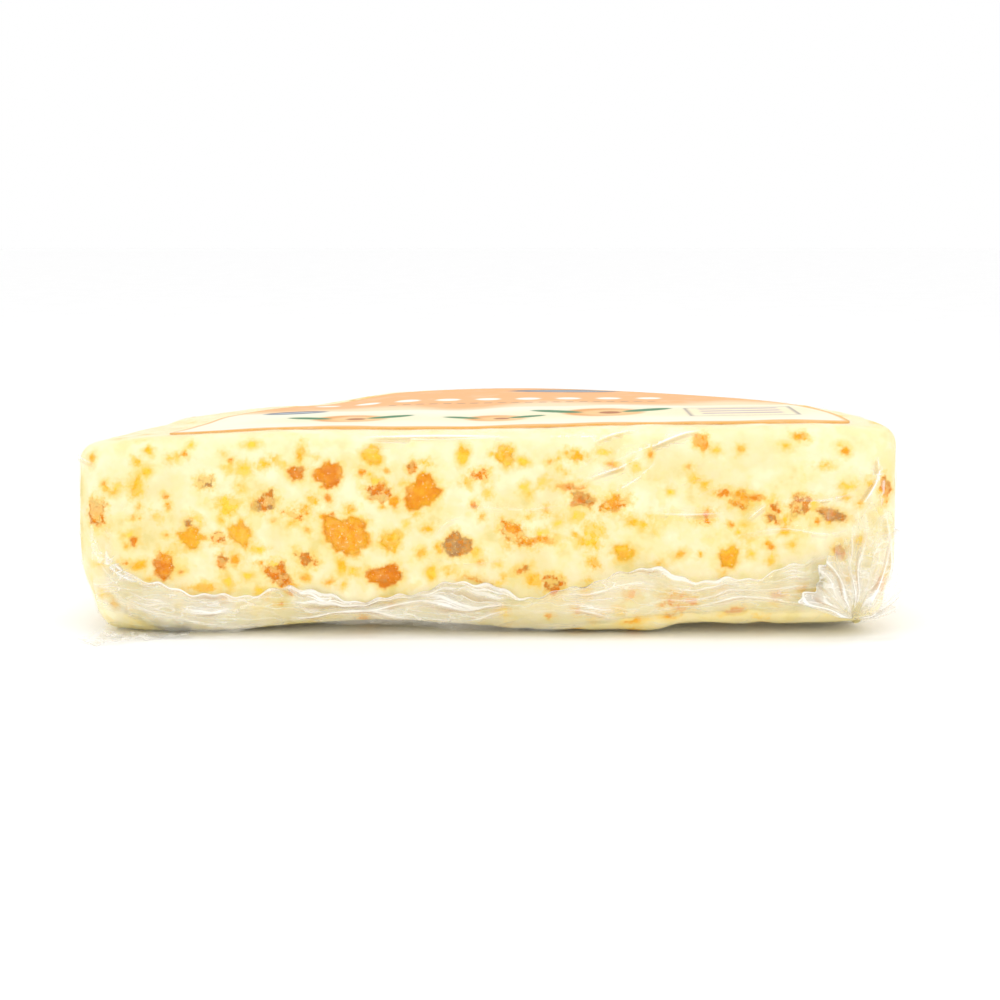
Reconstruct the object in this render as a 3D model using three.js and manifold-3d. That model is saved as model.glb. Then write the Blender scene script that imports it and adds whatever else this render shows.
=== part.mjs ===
// Half wheel of white stilton with apricot pieces, vacuum sealed in clear film, with a half-round label on top.
// Millimetres, +Z up. X runs along the cut face, which looks towards -Y. The round side curves away at +Y.
import * as THREE from 'three';
import Module from 'manifold-3d';
import { mergeVertices } from 'three/addons/utils/BufferGeometryUtils.js';
import { LoftGeometry } from 'three/addons/geometries/LoftGeometry.js';

// Half wheel
const WHEEL_RADIUS = 107;
const HEIGHT = 54; // at the middle of the cut face
const RISE_TO_RIGHT = 0.018; // the wheel was cut a little thicker towards +X
const CORNER_RADIUS = 8; // upright edges between cut face and round side
const TOP_EDGE = 5.5;
const FOOT_EDGE = 7;
const WALL_BULGE = 1.1;
const SURFACE_WAVE = 0.45; // unevenness of the soft paste under the film
const FOOT_LIFT = 3; // left of the middle, the foot of the cut face stands off the table
const RIGHT_LIFT = 2.2; // and so it does near the right end
const FOOT_ROLL = 1.6; // right of the middle, the foot bulges forward
const END_TAPER = 3.4; // the two ends draw in towards the table

// Mesh steps
const FRONT_STEPS = 33;
const CORNER_STEPS = 4;
const ARC_STEPS = 40;
const EDGE_STEPS = 4;
const WALL_STEPS = 6;
const LABEL_STEPS = 44;

// Label
const LABEL_RADIUS = 89.5;
const LABEL_CENTRE = new THREE.Vector2(5.7, 9.5);
const LABEL_CORNER = 3;
const LABEL_THICKNESS = 0.4;

// Loose film
const FILM_THICKNESS = 0.8; // two layers and the air between them
const FIN_STEPS = 50;
const FIN_FLUTTER = 0.7;
const GATHER_CENTRE = new THREE.Vector3(95.8, 1.5, 4.5); // where the spare film is drawn together
const GATHER_PLEATS = 5;
const PLEAT_DEPTH = 1.6;
const FLAP_START = -106;
const FLAP_END = -78;
const FLAP_REACH = 7;

// Apricot pieces
const GAP = 0.3; // between a piece and its pocket, and under the label
const PIECE_DEPTH = 0.42; // share of a piece's mean width that lies under the surface
const PIECE_PROUD = 1; // how far a whole lump would stand out before the cut
const LUMPINESS = 0.16;
const LARGE_PIECE = 9.5;
const SIDE_PIECES = 11;
const SEED = 20;

// Cut face: place of each large piece along and above the table, its width, its height and its turn in degrees.
const CUT_PIECES = [
  [-101.3, 33.3, 5, 6.4, 0], [-84.1, 18.6, 5.4, 6.4, -15], [-76.8, 26.5, 6.8, 5.4, 10], [-64, 27.5, 5.4, 7.2, -10],
  [-57.6, 35.7, 7.2, 4.4, -20], [-54.3, 16.8, 7.4, 6, 20], [-49.2, 43.5, 5, 3.6, -10], [-40.7, 43, 6.8, 7.6, 30],
  [-36.6, 27.3, 12.6, 11, 40], [-29.6, 48, 5, 5.8, 0], [-27.9, 38.5, 6.4, 5, 20], [-26.7, 16.4, 8.8, 6.4, 0],
  [-25, 25.6, 5.4, 5.8, 0], [-17, 38.3, 10, 8.6, -35], [-7.9, 24.6, 7.2, 7, 0], [4.5, 48, 5.2, 5.6, 0],
  [7.2, 27.5, 9, 4.8, 35], [23.8, 36.6, 5, 4.2, 0], [32.6, 35.4, 7.6, 4.4, -25], [35.4, 22.4, 5.4, 4.6, 0],
  [62.6, 21.4, 5.2, 5.8, 0], [65.3, 36.5, 5.6, 5, -20], [80.6, 34.9, 5.4, 6, 15], [89.2, 32.2, 7, 3.6, 15],
];

const smooth = THREE.MathUtils.smoothstep;
const radians = THREE.MathUtils.degToRad;
const degrees = THREE.MathUtils.radToDeg;
const bell = (distance, width) => Math.exp(-((distance / width) ** 2));

const wasm = await Module();
wasm.setup();

// Closed three.js geometry to solid, and back. A ring shrunk to a pole leaves collapsed triangles, which are dropped.
function solidOf(geometry) {
  const bare = new THREE.BufferGeometry().setAttribute('position', geometry.attributes.position);
  const merged = mergeVertices(bare.setIndex(geometry.index), 1e-4);
  const { array } = merged.index;
  const triVerts = [];
  for (let i = 0; i < array.length; i += 3) {
    const corners = array.slice(i, i + 3);
    if (new Set(corners).size === 3) triVerts.push(...corners);
  }
  return new wasm.Manifold(new wasm.Mesh({
    numProp: 3,
    vertProperties: new Float32Array(merged.attributes.position.array),
    triVerts: new Uint32Array(triVerts),
  }));
}

function geometryOf(solid) {
  const { vertProperties, triVerts } = solid.getMesh();
  const geometry = new THREE.BufferGeometry();
  geometry.setAttribute('position', new THREE.BufferAttribute(vertProperties, 3));
  geometry.setIndex(new THREE.BufferAttribute(triVerts, 1));
  return geometry.toNonIndexed();
}

// Repeatable random numbers from 0 to 1.
function randomSource(seed) {
  let state = seed;
  return () => {
    state = (Math.imul(state, 1664525) + 1013904223) >>> 0;
    return state / 2 ** 32;
  };
}

// Height of the top over the table. The rim sinks towards the back left, stands proud at the back, and the front
// edge undulates.
function topHeight(x, y) {
  const around = degrees(Math.atan2(y, x));
  const towardsRim = smooth(Math.hypot(x, y), 0.5 * WHEEL_RADIUS, WHEEL_RADIUS) * smooth(y, 0, 30);
  const backLeft = 1.3 * smooth(around, 106, 118) + 0.8 * bell(around - 122, 6) + 0.9 * smooth(around, 147, 155);
  const rim = 0.3 * bell(around - 92, 18) - 0.8 * bell(around - 55, 22) - backLeft;
  const ends = 0.7 * smooth(x, 80, 102) + 1.1 * smooth(-x, 88, 104);
  const front = 0.9 * bell(x + 50, 24) + 0.4 * bell(x - 40, 20) - ends;
  return HEIGHT + RISE_TO_RIGHT * x + towardsRim * rim + (1 - smooth(y, 0, 35)) * front;
}

// Height of the underside over the table: zero but for the two lifted stretches of the cut face's foot.
function undersideHeight(x, y) {
  const leftLift = FOOT_LIFT * Math.max(0, 1.15 * bell(x + 28, 32) - 0.15);
  const rightLift = RIGHT_LIFT * smooth(x, 42, 54);
  return (leftLift + rightLift) * (1 - smooth(y, 2, 26));
}

// Slow unevenness of the pressed paste: crossed waves 30 to 60 mm long.
function pasteWave(x, y, z) {
  return 0.5 * Math.sin(x / 9 + 1.3 * Math.sin(z / 8)) + 0.3 * Math.sin((x + z) / 5.5 + 2)
    + 0.4 * Math.sin(y / 8 + z / 11 + 1);
}

// The half wheel's outline seen from above, moved inwards by an inset: points with their outward direction.
function outline(inset) {
  const radius = WHEEL_RADIUS - inset;
  const corner = Math.max(CORNER_RADIUS - inset, 1.5);
  const cornerY = inset + corner;
  const cornerX = Math.sqrt((radius - corner) ** 2 - cornerY ** 2);
  const start = Math.atan2(cornerY, cornerX);
  const points = [];
  const add = (x, y, angle) => points.push({ x, y, nx: Math.cos(angle), ny: Math.sin(angle) });
  const addCorner = (side, from, to) => {
    for (let i = 0; i < CORNER_STEPS; i++) {
      const angle = from + (to - from) * i / CORNER_STEPS;
      add(side * cornerX + corner * Math.cos(angle), cornerY + corner * Math.sin(angle), angle);
    }
  };
  for (let i = 0; i < FRONT_STEPS; i++) {
    add(cornerX * (2 * i / FRONT_STEPS - 1), inset, -Math.PI / 2);
  }
  addCorner(1, -Math.PI / 2, start);
  for (let i = 0; i < ARC_STEPS; i++) {
    const angle = start + (Math.PI - 2 * start) * i / ARC_STEPS;
    add(radius * Math.cos(angle), radius * Math.sin(angle), angle);
  }
  addCorner(-1, Math.PI - start, 1.5 * Math.PI);
  return points;
}

// How far the wall stands out beyond the plain outline: bulge, forward roll and taper at the foot, hollows and waves.
function wallRelief(x, y, z) {
  const front = 1 - smooth(y, 0, 12);
  const bulge = WALL_BULGE * (1 - 0.6 * front) * Math.sin(Math.PI * THREE.MathUtils.clamp(z / HEIGHT, 0, 1));
  const roll = FOOT_ROLL * front * smooth(x, -5, 25) * bell(z - 5, 5);
  const creaseHollow = 1.2 * bell(x - 88, 10) * bell(z - 33, 4);
  const wideHollow = 0.6 * bell(x - 25, 16) * bell(z - 38, 7);
  const taper = END_TAPER * smooth(Math.abs(x), 88, WHEEL_RADIUS) * (1 - smooth(z, 4, 20));
  const wave = SURFACE_WAVE * pasteWave(x, y, z) * smooth(z, -4, 12);
  return bulge + roll + wave - taper - front * (creaseHollow + wideHollow);
}

// One ring round the wall: its inset, and its height as a share of the way between two edges' heights.
function wallRing(inset, share, riseFromFoot, dropFromTop) {
  return outline(inset).map(({ x, y, nx, ny }) => {
    const low = undersideHeight(x, y) + riseFromFoot;
    const high = topHeight(x, y) - dropFromTop;
    const z = low + (high - low) * share;
    const out = wallRelief(x, y, z);
    return new THREE.Vector3(x + nx * out, y + ny * out, z);
  });
}

// One ring on the flat top or underside: the edge ring shrunk about the middle.
function flatRing(inset, scale, heightAt) {
  const middleY = 0.43 * WHEEL_RADIUS;
  return outline(inset).map(({ x, y }) => {
    const nearY = middleY + (y - middleY) * scale;
    return new THREE.Vector3(x * scale, nearY, heightAt(x * scale, nearY));
  });
}

// The sealed half wheel without its loose film: rings from the underside over the wall to the top.
function halfWheel() {
  const rings = [0, 0.7].map((scale) => flatRing(FOOT_EDGE, scale, undersideHeight));
  for (let i = 0; i <= EDGE_STEPS; i++) {
    const turn = Math.PI / 2 * i / EDGE_STEPS;
    rings.push(wallRing(FOOT_EDGE * (1 - Math.sin(turn)), 0, FOOT_EDGE * (1 - Math.cos(turn)), 0));
  }
  for (let i = 1; i < WALL_STEPS; i++) {
    rings.push(wallRing(0, i / WALL_STEPS, FOOT_EDGE, TOP_EDGE));
  }
  for (let i = 0; i <= EDGE_STEPS; i++) {
    const turn = Math.PI / 2 * i / EDGE_STEPS;
    rings.push(wallRing(TOP_EDGE * (1 - Math.cos(turn)), 1, 0, TOP_EDGE * (1 - Math.sin(turn))));
  }
  rings.push(...[0.8, 0.5, 0].map((scale) => flatRing(TOP_EDGE, scale, topHeight)));
  return new LoftGeometry(rings);
}

// A thin closed sheet: at each step along it a path from its free edge to its root, and back on its other side.
function filmSheet(steps, pathAt, thickness) {
  const sections = [];
  for (let i = 0; i <= steps; i++) {
    const near = pathAt(i / steps);
    const far = near.map((point) => point.clone().add(thickness));
    sections.push([...near, ...far.reverse()]);
  }
  return new LoftGeometry(sections, { capStart: true, capEnd: true });
}

// The bag's seam fin, folded up along the foot of the cut face, with a wavy free edge.
function seamFin() {
  const freeEdge = new THREE.SplineCurve([
    [-102, 32], [-98, 21], [-86, 14.8], [-68, 11.4], [-48, 13.8], [-36, 10], [-19, 12.2], [-4, 15.4], [10, 11.4],
    [29, 15.9], [41, 19.6], [51, 16.6], [67, 16.4], [80, 20.4], [92, 25],
  ].map(([x, z]) => new THREE.Vector2(x, z)));
  const root = new THREE.SplineCurve([
    [-102, 12], [-84, 3.6], [-64, 3.2], [-42, 5.4], [-20, 4.6], [16, 4.4], [49, 7.4], [92, 10],
  ].map(([x, z]) => new THREE.Vector2(x, z)));
  const pathAt = (along) => {
    const free = freeEdge.getPoint(along);
    const foot = root.getPoint(along);
    const flutter = FIN_FLUTTER * (Math.sin(free.x / 3.1) + 0.6 * Math.sin(free.x / 1.7 + 1));
    const out = -1.4 - FOOT_ROLL * smooth(free.x, -5, 25);
    const across = (share, y, drop = 0) => new THREE.Vector3(
      THREE.MathUtils.lerp(foot.x, free.x, share), y, THREE.MathUtils.lerp(foot.y, free.y, share) - drop,
    );
    return [
      across(1, out - 0.2 + flutter),
      across(0.7, out - 0.4 + 0.6 * flutter),
      across(0.35, out - 0.7),
      across(0, 0.8 * out),
      across(0, FOOT_EDGE - 0.5, 0.3),
    ];
  };
  return filmSheet(FIN_STEPS, pathAt, new THREE.Vector3(0, FILM_THICKNESS, 0));
}

// The spare film drawn together at the lower right corner: a pleated fan round the gathering point.
function gatheredCorner() {
  const reach = new THREE.SplineCurve([
    [160, 16], [135, 16], [112, 20.5], [97, 24], [80, 31.5], [53, 16.5], [27, 12], [16, 9.5],
  ].map(([angle, length]) => new THREE.Vector2(angle, length)));
  const pathAt = (around) => {
    const ray = reach.getPoint(around);
    const angle = radians(ray.x);
    const pleat = PLEAT_DEPTH * Math.sin(2 * Math.PI * GATHER_PLEATS * around);
    const wrap = 3 * smooth(Math.cos(angle), 0.1, 1); // the fan bends back round the corner
    return [1, 0.7, 0.35, 0.03].map((share) => new THREE.Vector3(
      GATHER_CENTRE.x + share * ray.y * Math.cos(angle),
      GATHER_CENTRE.y - 6 * Math.min(1, 3 * share) + share * (pleat + wrap),
      GATHER_CENTRE.z + share * ray.y * Math.sin(angle),
    ));
  };
  return filmSheet(5 * GATHER_PLEATS, pathAt, new THREE.Vector3(0, FILM_THICKNESS, 0));
}

// An ear of loose film that lies on the table in front of the left corner.
function tableFlap() {
  const pathAt = (along) => {
    const x = THREE.MathUtils.lerp(FLAP_START, FLAP_END, along);
    const reach = 2 + FLAP_REACH * bell(x + 99, 9);
    return [1, 0.65, 0.3, 0].map((share) => new THREE.Vector3(
      x + 8 * (1 - share) * (1 - along),
      6 - (6 + reach) * share,
      0.1 + 3.2 * (1 - share) ** 2 + 0.4 * (1 + Math.sin(x / 2.4 + 3 * share)),
    ));
  };
  return filmSheet(10, pathAt, new THREE.Vector3(0, 0, FILM_THICKNESS));
}

// The label's outline, a half disc with small rounded corners, shrunk about its middle and laid over the top.
function labelRing(scale, lift) {
  const straight = LABEL_RADIUS - LABEL_CORNER;
  const start = Math.asin(LABEL_CORNER / LABEL_RADIUS);
  const shape = new THREE.Shape();
  shape.moveTo(-straight, 0);
  shape.lineTo(straight, 0);
  shape.quadraticCurveTo(LABEL_RADIUS, 0, LABEL_RADIUS * Math.cos(start), LABEL_CORNER);
  shape.absarc(0, 0, LABEL_RADIUS, start, Math.PI - start);
  shape.quadraticCurveTo(-LABEL_RADIUS, 0, -straight, 0);
  const middleY = 0.42 * LABEL_RADIUS;
  return shape.getSpacedPoints(LABEL_STEPS).slice(0, -1).map((point) => {
    const x = LABEL_CENTRE.x + point.x * scale;
    const y = LABEL_CENTRE.y + middleY + (point.y - middleY) * scale;
    return new THREE.Vector3(x, y, topHeight(x, y) + lift);
  });
}

function labelSheet() {
  const scales = [0, 0.6, 0.9, 1];
  const under = scales.map((scale) => labelRing(scale, GAP));
  const over = scales.map((scale) => labelRing(scale, GAP + LABEL_THICKNESS)).reverse();
  return geometryOf(solidOf(new LoftGeometry([...under, ...over])));
}

// A whole lump of apricot with its middle at the origin and its cut side towards -Y, grown by a margin.
function lump(width, height, turn, phase, margin) {
  const depth = PIECE_DEPTH * (width + height) / 2;
  const geometry = new THREE.IcosahedronGeometry(1, Math.max(width, height) > LARGE_PIECE ? 2 : 1);
  const positions = geometry.attributes.position;
  const point = new THREE.Vector3();
  for (let i = 0; i < positions.count; i++) {
    point.fromBufferAttribute(positions, i);
    const bumps = Math.sin(3 * point.x + phase) + Math.sin(4 * point.z + 2 * phase) * Math.cos(3 * point.y + phase);
    point.multiplyScalar(1 + LUMPINESS * bumps);
    const under = point.y > 0 ? depth + margin : PIECE_PROUD + margin;
    point.set(point.x * (width / 2 + margin), point.y * under, point.z * (height / 2 + margin));
    positions.setXYZ(i, point.x, point.y, point.z);
  }
  return geometry.rotateY(radians(turn));
}

// Places of the pieces: those of the cut face, and seeded ones round the side, each with its outward direction.
function piecePlaces() {
  const cut = CUT_PIECES.map(([x, z, width, height, turn], i) => ({
    name: `apricot_cut_${String(i + 1).padStart(2, '0')}`,
    x, y: 0, z, width, height, turn, facing: -Math.PI / 2,
  }));
  const random = randomSource(SEED);
  const side = [];
  for (let i = 0; i < SIDE_PIECES; i++) {
    const facing = Math.PI * THREE.MathUtils.lerp(0.07, 0.93, (i + 0.25 + 0.5 * random()) / SIDE_PIECES);
    side.push({
      name: `apricot_side_${String(i + 1).padStart(2, '0')}`,
      x: WHEEL_RADIUS * Math.cos(facing),
      y: WHEEL_RADIUS * Math.sin(facing),
      z: HEIGHT * (i % 2 ? 0.22 + 0.2 * random() : 0.58 + 0.2 * random()),
      width: 5.5 + 5 * random(),
      height: 5 + 4 * random(),
      turn: 60 * random() - 30,
      facing,
    });
  }
  return [...cut, ...side];
}

// A piece's lump where it lies, with its middle on the wall.
function placedLump(place, margin) {
  const out = wallRelief(place.x, place.y, place.z);
  const phase = place.x + 2 * place.z;
  const geometry = lump(place.width, place.height, place.turn, phase, margin);
  geometry.rotateZ(place.facing + Math.PI / 2);
  geometry.translate(place.x + out * Math.cos(place.facing), place.y + out * Math.sin(place.facing), place.z);
  return solidOf(geometry);
}

function sealedCheeseMaterial() {
  return new THREE.MeshStandardMaterial({ color: 0xf8eab4, roughness: 0.3, metalness: 0 });
}

function apricotMaterial() {
  return new THREE.MeshStandardMaterial({ color: 0xeb9a2c, roughness: 0.55, metalness: 0 });
}

function labelMaterial() {
  return new THREE.MeshStandardMaterial({ color: 0xfffbe6, roughness: 0.45, metalness: 0 });
}

function namedMesh(name, geometry, material) {
  geometry.computeVertexNormals();
  const mesh = new THREE.Mesh(geometry, material);
  mesh.name = name;
  return mesh;
}

// The whole pack. Each piece is what its lump and the wheel share, and the sealed bag keeps a pocket round it.
function sealedHalfWheel() {
  const wheel = solidOf(halfWheel());
  let bag = wheel.add(solidOf(seamFin())).add(solidOf(gatheredCorner())).add(solidOf(tableFlap()));
  const group = new THREE.Group();
  for (const place of piecePlaces()) {
    const piece = wheel.intersect(placedLump(place, 0));
    bag = bag.subtract(placedLump(place, GAP));
    group.add(namedMesh(place.name, geometryOf(piece), apricotMaterial()));
  }
  group.add(namedMesh('sealed_cheese', geometryOf(bag), sealedCheeseMaterial()));
  group.add(namedMesh('label', labelSheet(), labelMaterial()));
  return group;
}

// The origin is the middle of the underside of the whole pack's box.
function centredOnTable(model) {
  const box = new THREE.Box3().setFromObject(model);
  const middle = box.getCenter(new THREE.Vector3());
  model.position.set(-middle.x, -middle.y, -box.min.z);
  return model;
}

const root = new THREE.Group();
root.add(centredOnTable(sealedHalfWheel()));

export default root;
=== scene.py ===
"""Looks of a vacuum-sealed half wheel of white stilton with apricot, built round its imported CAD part.

Shapes are worked out in the wheel's own millimetres: x along the cut face, y towards the round side and z
up, with the origin under the middle of the cut face. to_part() turns them into the part's metres.
"""
from functools import partial
import math

import bpy
import numpy as np
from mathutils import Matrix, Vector


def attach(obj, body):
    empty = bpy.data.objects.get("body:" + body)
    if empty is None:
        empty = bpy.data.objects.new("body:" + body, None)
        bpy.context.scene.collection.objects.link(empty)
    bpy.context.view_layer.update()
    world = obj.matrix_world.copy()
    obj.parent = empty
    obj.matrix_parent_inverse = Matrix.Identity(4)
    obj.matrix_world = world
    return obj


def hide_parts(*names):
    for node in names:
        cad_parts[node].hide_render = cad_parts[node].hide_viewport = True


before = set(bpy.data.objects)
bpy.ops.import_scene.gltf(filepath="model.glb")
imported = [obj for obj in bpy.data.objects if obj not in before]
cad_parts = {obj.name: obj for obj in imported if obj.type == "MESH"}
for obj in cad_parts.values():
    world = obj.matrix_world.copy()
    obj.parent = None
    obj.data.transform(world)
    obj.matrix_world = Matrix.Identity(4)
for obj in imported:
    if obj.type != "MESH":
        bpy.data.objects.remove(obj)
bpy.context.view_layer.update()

bl_info = {
    "name": "Sealed half wheel of white stilton",
    "version": (1, 0, 0),
    "blender": (4, 5, 0),
    "location": "3D View > Sidebar > Stilton",
    "description": "Builds the paste, apricot, film and label of a sealed half wheel of white stilton",
    "category": "Object",
}

# Half wheel, as in the part
WHEEL_RADIUS = 107
HEIGHT = 54
RISE_TO_RIGHT = 0.018
CORNER_RADIUS = 8
TOP_EDGE = 5.5
FOOT_EDGE = 7
WALL_BULGE = 1.1
SURFACE_WAVE = 0.45
FOOT_LIFT = 3
RIGHT_LIFT = 2.2
FOOT_ROLL = 1.6
END_TAPER = 3.4
SHIFT = np.array([0.0677, -49.5884, 0.0])  # from the wheel's origin to the part's

# Label, as in the part
LABEL_RADIUS = 89.5
LABEL_CENTRE = np.array([5.7, 9.5])
LABEL_CORNER = 3
LABEL_LIFT = 0.08
LABEL_DEPTH = 0.5

# Loose film, as in the part
FIN_FREE = [
    (-102, 32), (-98, 21), (-86, 14.8), (-68, 11.4), (-48, 13.8), (-36, 10), (-19, 12.2), (-4, 15.4),
    (10, 11.4), (29, 15.9), (41, 19.6), (51, 16.6), (67, 16.4), (80, 20.4), (92, 25),
]
FIN_ROOT = [(-102, 12), (-84, 3.6), (-64, 3.2), (-42, 5.4), (-20, 4.6), (16, 4.4), (49, 7.4), (92, 10)]
FIN_FLUTTER = 0.7
FIN_PLEATS = 4
GATHER_CENTRE = (95.8, 1.5, 4.5)
GATHER_REACH = [(160, 16), (135, 16), (112, 20.5), (97, 24), (80, 31.5), (53, 16.5), (27, 12), (16, 9.5)]
GATHER_PLEATS = 5
PLEAT_DEPTH = 1.6
FLAP_START = -106
FLAP_END = -78
FLAP_REACH = 7

# Layers on the wall, as lifts from the part's surface
PASTE_LIFT = -0.4
APRICOT_LIFT = -0.5
FILM_LIFT = 0.02

# Apricot pieces of the cut face, as in the part: x, z, width, height, turn, then tone from pale gold 0 to
# brown 1, and crumble from whole 0 to crumbly 1.
CUT_PIECES = [
    (-101.3, 33.3, 5, 6.4, 0, 0.85, 0.8), (-84.1, 18.6, 5.4, 6.4, -15, 0.75, 0.2),
    (-76.8, 26.5, 6.8, 5.4, 10, 0.4, 0.1), (-64, 27.5, 5.4, 7.2, -10, 0.42, 0.2),
    (-57.6, 35.7, 7.2, 4.4, -20, 0.9, 0.7), (-54.3, 16.8, 7.4, 6, 20, 0.82, 0.6),
    (-49.2, 43.5, 5, 3.6, -10, 0.78, 0), (-40.7, 43, 6.8, 7.6, 30, 0.72, 0.1),
    (-36.6, 27.3, 12.6, 11, 40, 0.55, 0.2), (-29.6, 48, 5, 5.8, 0, 0.25, 0),
    (-27.9, 38.5, 6.4, 5, 20, 0.78, 0.8), (-26.7, 16.4, 8.8, 6.4, 0, 0.8, 0),
    (-25, 25.6, 5.4, 5.8, 0, 0.3, 0.5), (-17, 38.3, 10, 8.6, -35, 0.58, 0),
    (-7.9, 24.6, 7.2, 7, 0, 0.98, 0.2), (4.5, 48, 5.2, 5.6, 0, 0.35, 0.4),
    (7.2, 27.5, 9, 4.8, 35, 0.66, 0.9), (23.8, 36.6, 5, 4.2, 0, 0.92, 0.4),
    (32.6, 35.4, 7.6, 4.4, -25, 0.6, 1), (35.4, 22.4, 5.4, 4.6, 0, 0.33, 0.2),
    (62.6, 21.4, 5.2, 5.8, 0, 0.45, 0), (65.3, 36.5, 5.6, 5, -20, 0.6, 0.7),
    (80.6, 34.9, 5.4, 6, 15, 0.88, 0.9), (89.2, 32.2, 7, 3.6, 15, 0.95, 0.3),
]
SIDE_PIECES = 11
SIDE_SEED = 20
PIECE_DEPTH = 0.42

# Smaller bits in the cut face: x, z, width, height, tone, crumble.
CUT_BITS = [
    (-101.9, 47.4, 1.8, 2.8, 0.4, 0), (-87, 49.5, 2, 2.3, 0.3, 0), (-76.4, 50.8, 2, 2, 0.15, 0),
    (-87.7, 43.8, 2.1, 2.8, 0.2, 0), (-98.6, 40.6, 1, 1, 0.7, 0), (-96.4, 38.3, 2.1, 1, 0.45, 0),
    (-90.4, 39.8, 3.1, 5.4, 0.3, 0.5), (-83.1, 37.2, 1.3, 1.5, 0.7, 0.5),
    (-82.4, 34.9, 1.5, 1.5, 0.6, 0.5), (-72.6, 41.2, 4.4, 3.3, 1, 1), (-77.4, 30.4, 2.1, 2.1, 1, 0),
    (-91.5, 25.7, 2.1, 2.6, 0.75, 0), (-69.5, 26.2, 3.4, 3.4, 0.85, 1), (-90.5, 19.3, 4.7, 2.1, 0.3, 0),
    (-84.7, 21.2, 2.6, 3.4, 0.75, 0.5), (-68.9, 20.1, 3.1, 3.6, 0.85, 0.5),
    (-65.5, 20.6, 2.6, 3.1, 0.5, 0.5), (-79.9, 17.4, 1.3, 1, 0.7, 0), (-74.1, 13.2, 6.2, 2.1, 0.35, 0.5),
    (-60.8, 51, 3.1, 1.5, 0.1, 0), (-47.8, 49, 2.1, 4.1, 0.35, 0.5), (-41.1, 37, 1.5, 3.1, 0.6, 0),
    (-32.2, 43.5, 2.1, 2.1, 0.6, 0.5), (-24.1, 35.9, 2.6, 3.1, 0.5, 0), (-50.2, 32.5, 3.9, 1.8, 0.85, 1),
    (-47.1, 20.9, 5.4, 3.9, 0.9, 1), (-62.5, 16.4, 2.6, 1.6, 0.1, 0), (-37.8, 19, 2.1, 4.7, 0.2, 0),
    (-19.4, 44.8, 2.8, 3.1, 0.8, 0.5), (-6.3, 48.2, 3.3, 4.4, 0.25, 0), (9.1, 46.4, 2.6, 2.3, 0.15, 0),
    (-1.9, 43, 4.6, 2.6, 0.75, 1), (-3.5, 34.9, 1.5, 1.8, 0.85, 0.5), (16, 46.4, 1.5, 1.5, 0.5, 0),
    (-15.7, 28.8, 2.3, 1.6, 0.3, 0), (-14.7, 17.2, 2.9, 3.6, 0.15, 0), (13.8, 26.2, 6.5, 2.1, 0.65, 0.5),
    (9.2, 18.2, 3.6, 1.8, 0.85, 0.5), (12.1, 15.3, 4.4, 3.4, 0.3, 0.5), (17, 14.2, 5.5, 6.2, 0.85, 1),
    (-4.3, 15.8, 3.6, 1, 0.7, 0.5), (22.7, 48.2, 4.6, 2.8, 0.35, 1), (32, 45.6, 2.6, 1.5, 0.5, 0),
    (20.7, 39.8, 4.6, 1.8, 0.85, 0.5), (26.4, 35.7, 2.6, 3.1, 0.9, 0.5), (38.6, 30.4, 5.4, 2.1, 0.2, 0.5),
    (27.3, 27.2, 4.7, 7.2, 0.15, 1), (49.9, 22.2, 2.9, 1.6, 0.5, 0), (54.9, 51.8, 4.4, 4.6, 0.6, 0.5),
    (58.6, 49.5, 2, 1.5, 0.2, 0), (47.2, 38.5, 1.5, 1.5, 0.1, 0), (56.4, 32, 4.4, 3.4, 0.6, 1),
    (60.9, 38.3, 3.6, 2.3, 0.65, 0.5), (68.9, 37.2, 3.6, 2.1, 0.6, 0.5), (80.5, 53.1, 3.8, 3.1, 0.5, 0.5),
    (76.5, 50.5, 2, 1.3, 0.15, 0), (91.9, 49.2, 2.1, 2.3, 0.5, 0), (103.1, 39.6, 3.6, 5.7, 0.8, 0.5),
    (73.9, 32.8, 3.9, 5.9, 0.9, 1), (76.9, 28.3, 2.8, 2.1, 0.2, 0), (73.4, 24.1, 1.8, 1.8, 0.6, 0),
    (91.3, 22.8, 3.6, 3.6, 0.95, 0.5), (103.1, 13.7, 3.6, 5.2, 0.5, 0), (49.9, 9.7, 7.8, 4.7, 0.6, 1),
    (37.1, 11.6, 3.1, 2.1, 0.4, 0.5), (38.2, 4.1, 4.2, 1.6, 0.5, 0), (47.3, 5.7, 3.1, 1.3, 0.5, 0),
    (64.5, 7.5, 4.2, 1.6, 0.6, 0), (75.6, 11.6, 2.9, 1.6, 0.9, 0.5), (-89.7, 52.8, 2, 1, 0.1, 0),
    (-45, 36.5, 2.6, 2.1, 0.3, 0.5), (-66.9, 34.9, 5.7, 4.6, 0.12, 1), (-62.8, 44.3, 4.1, 2.6, 0.1, 0.5),
    (-99.9, 35.1, 2.1, 3.1, 0.8, 1), (-99.6, 31.2, 1.5, 3.6, 0.8, 1),
]

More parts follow.
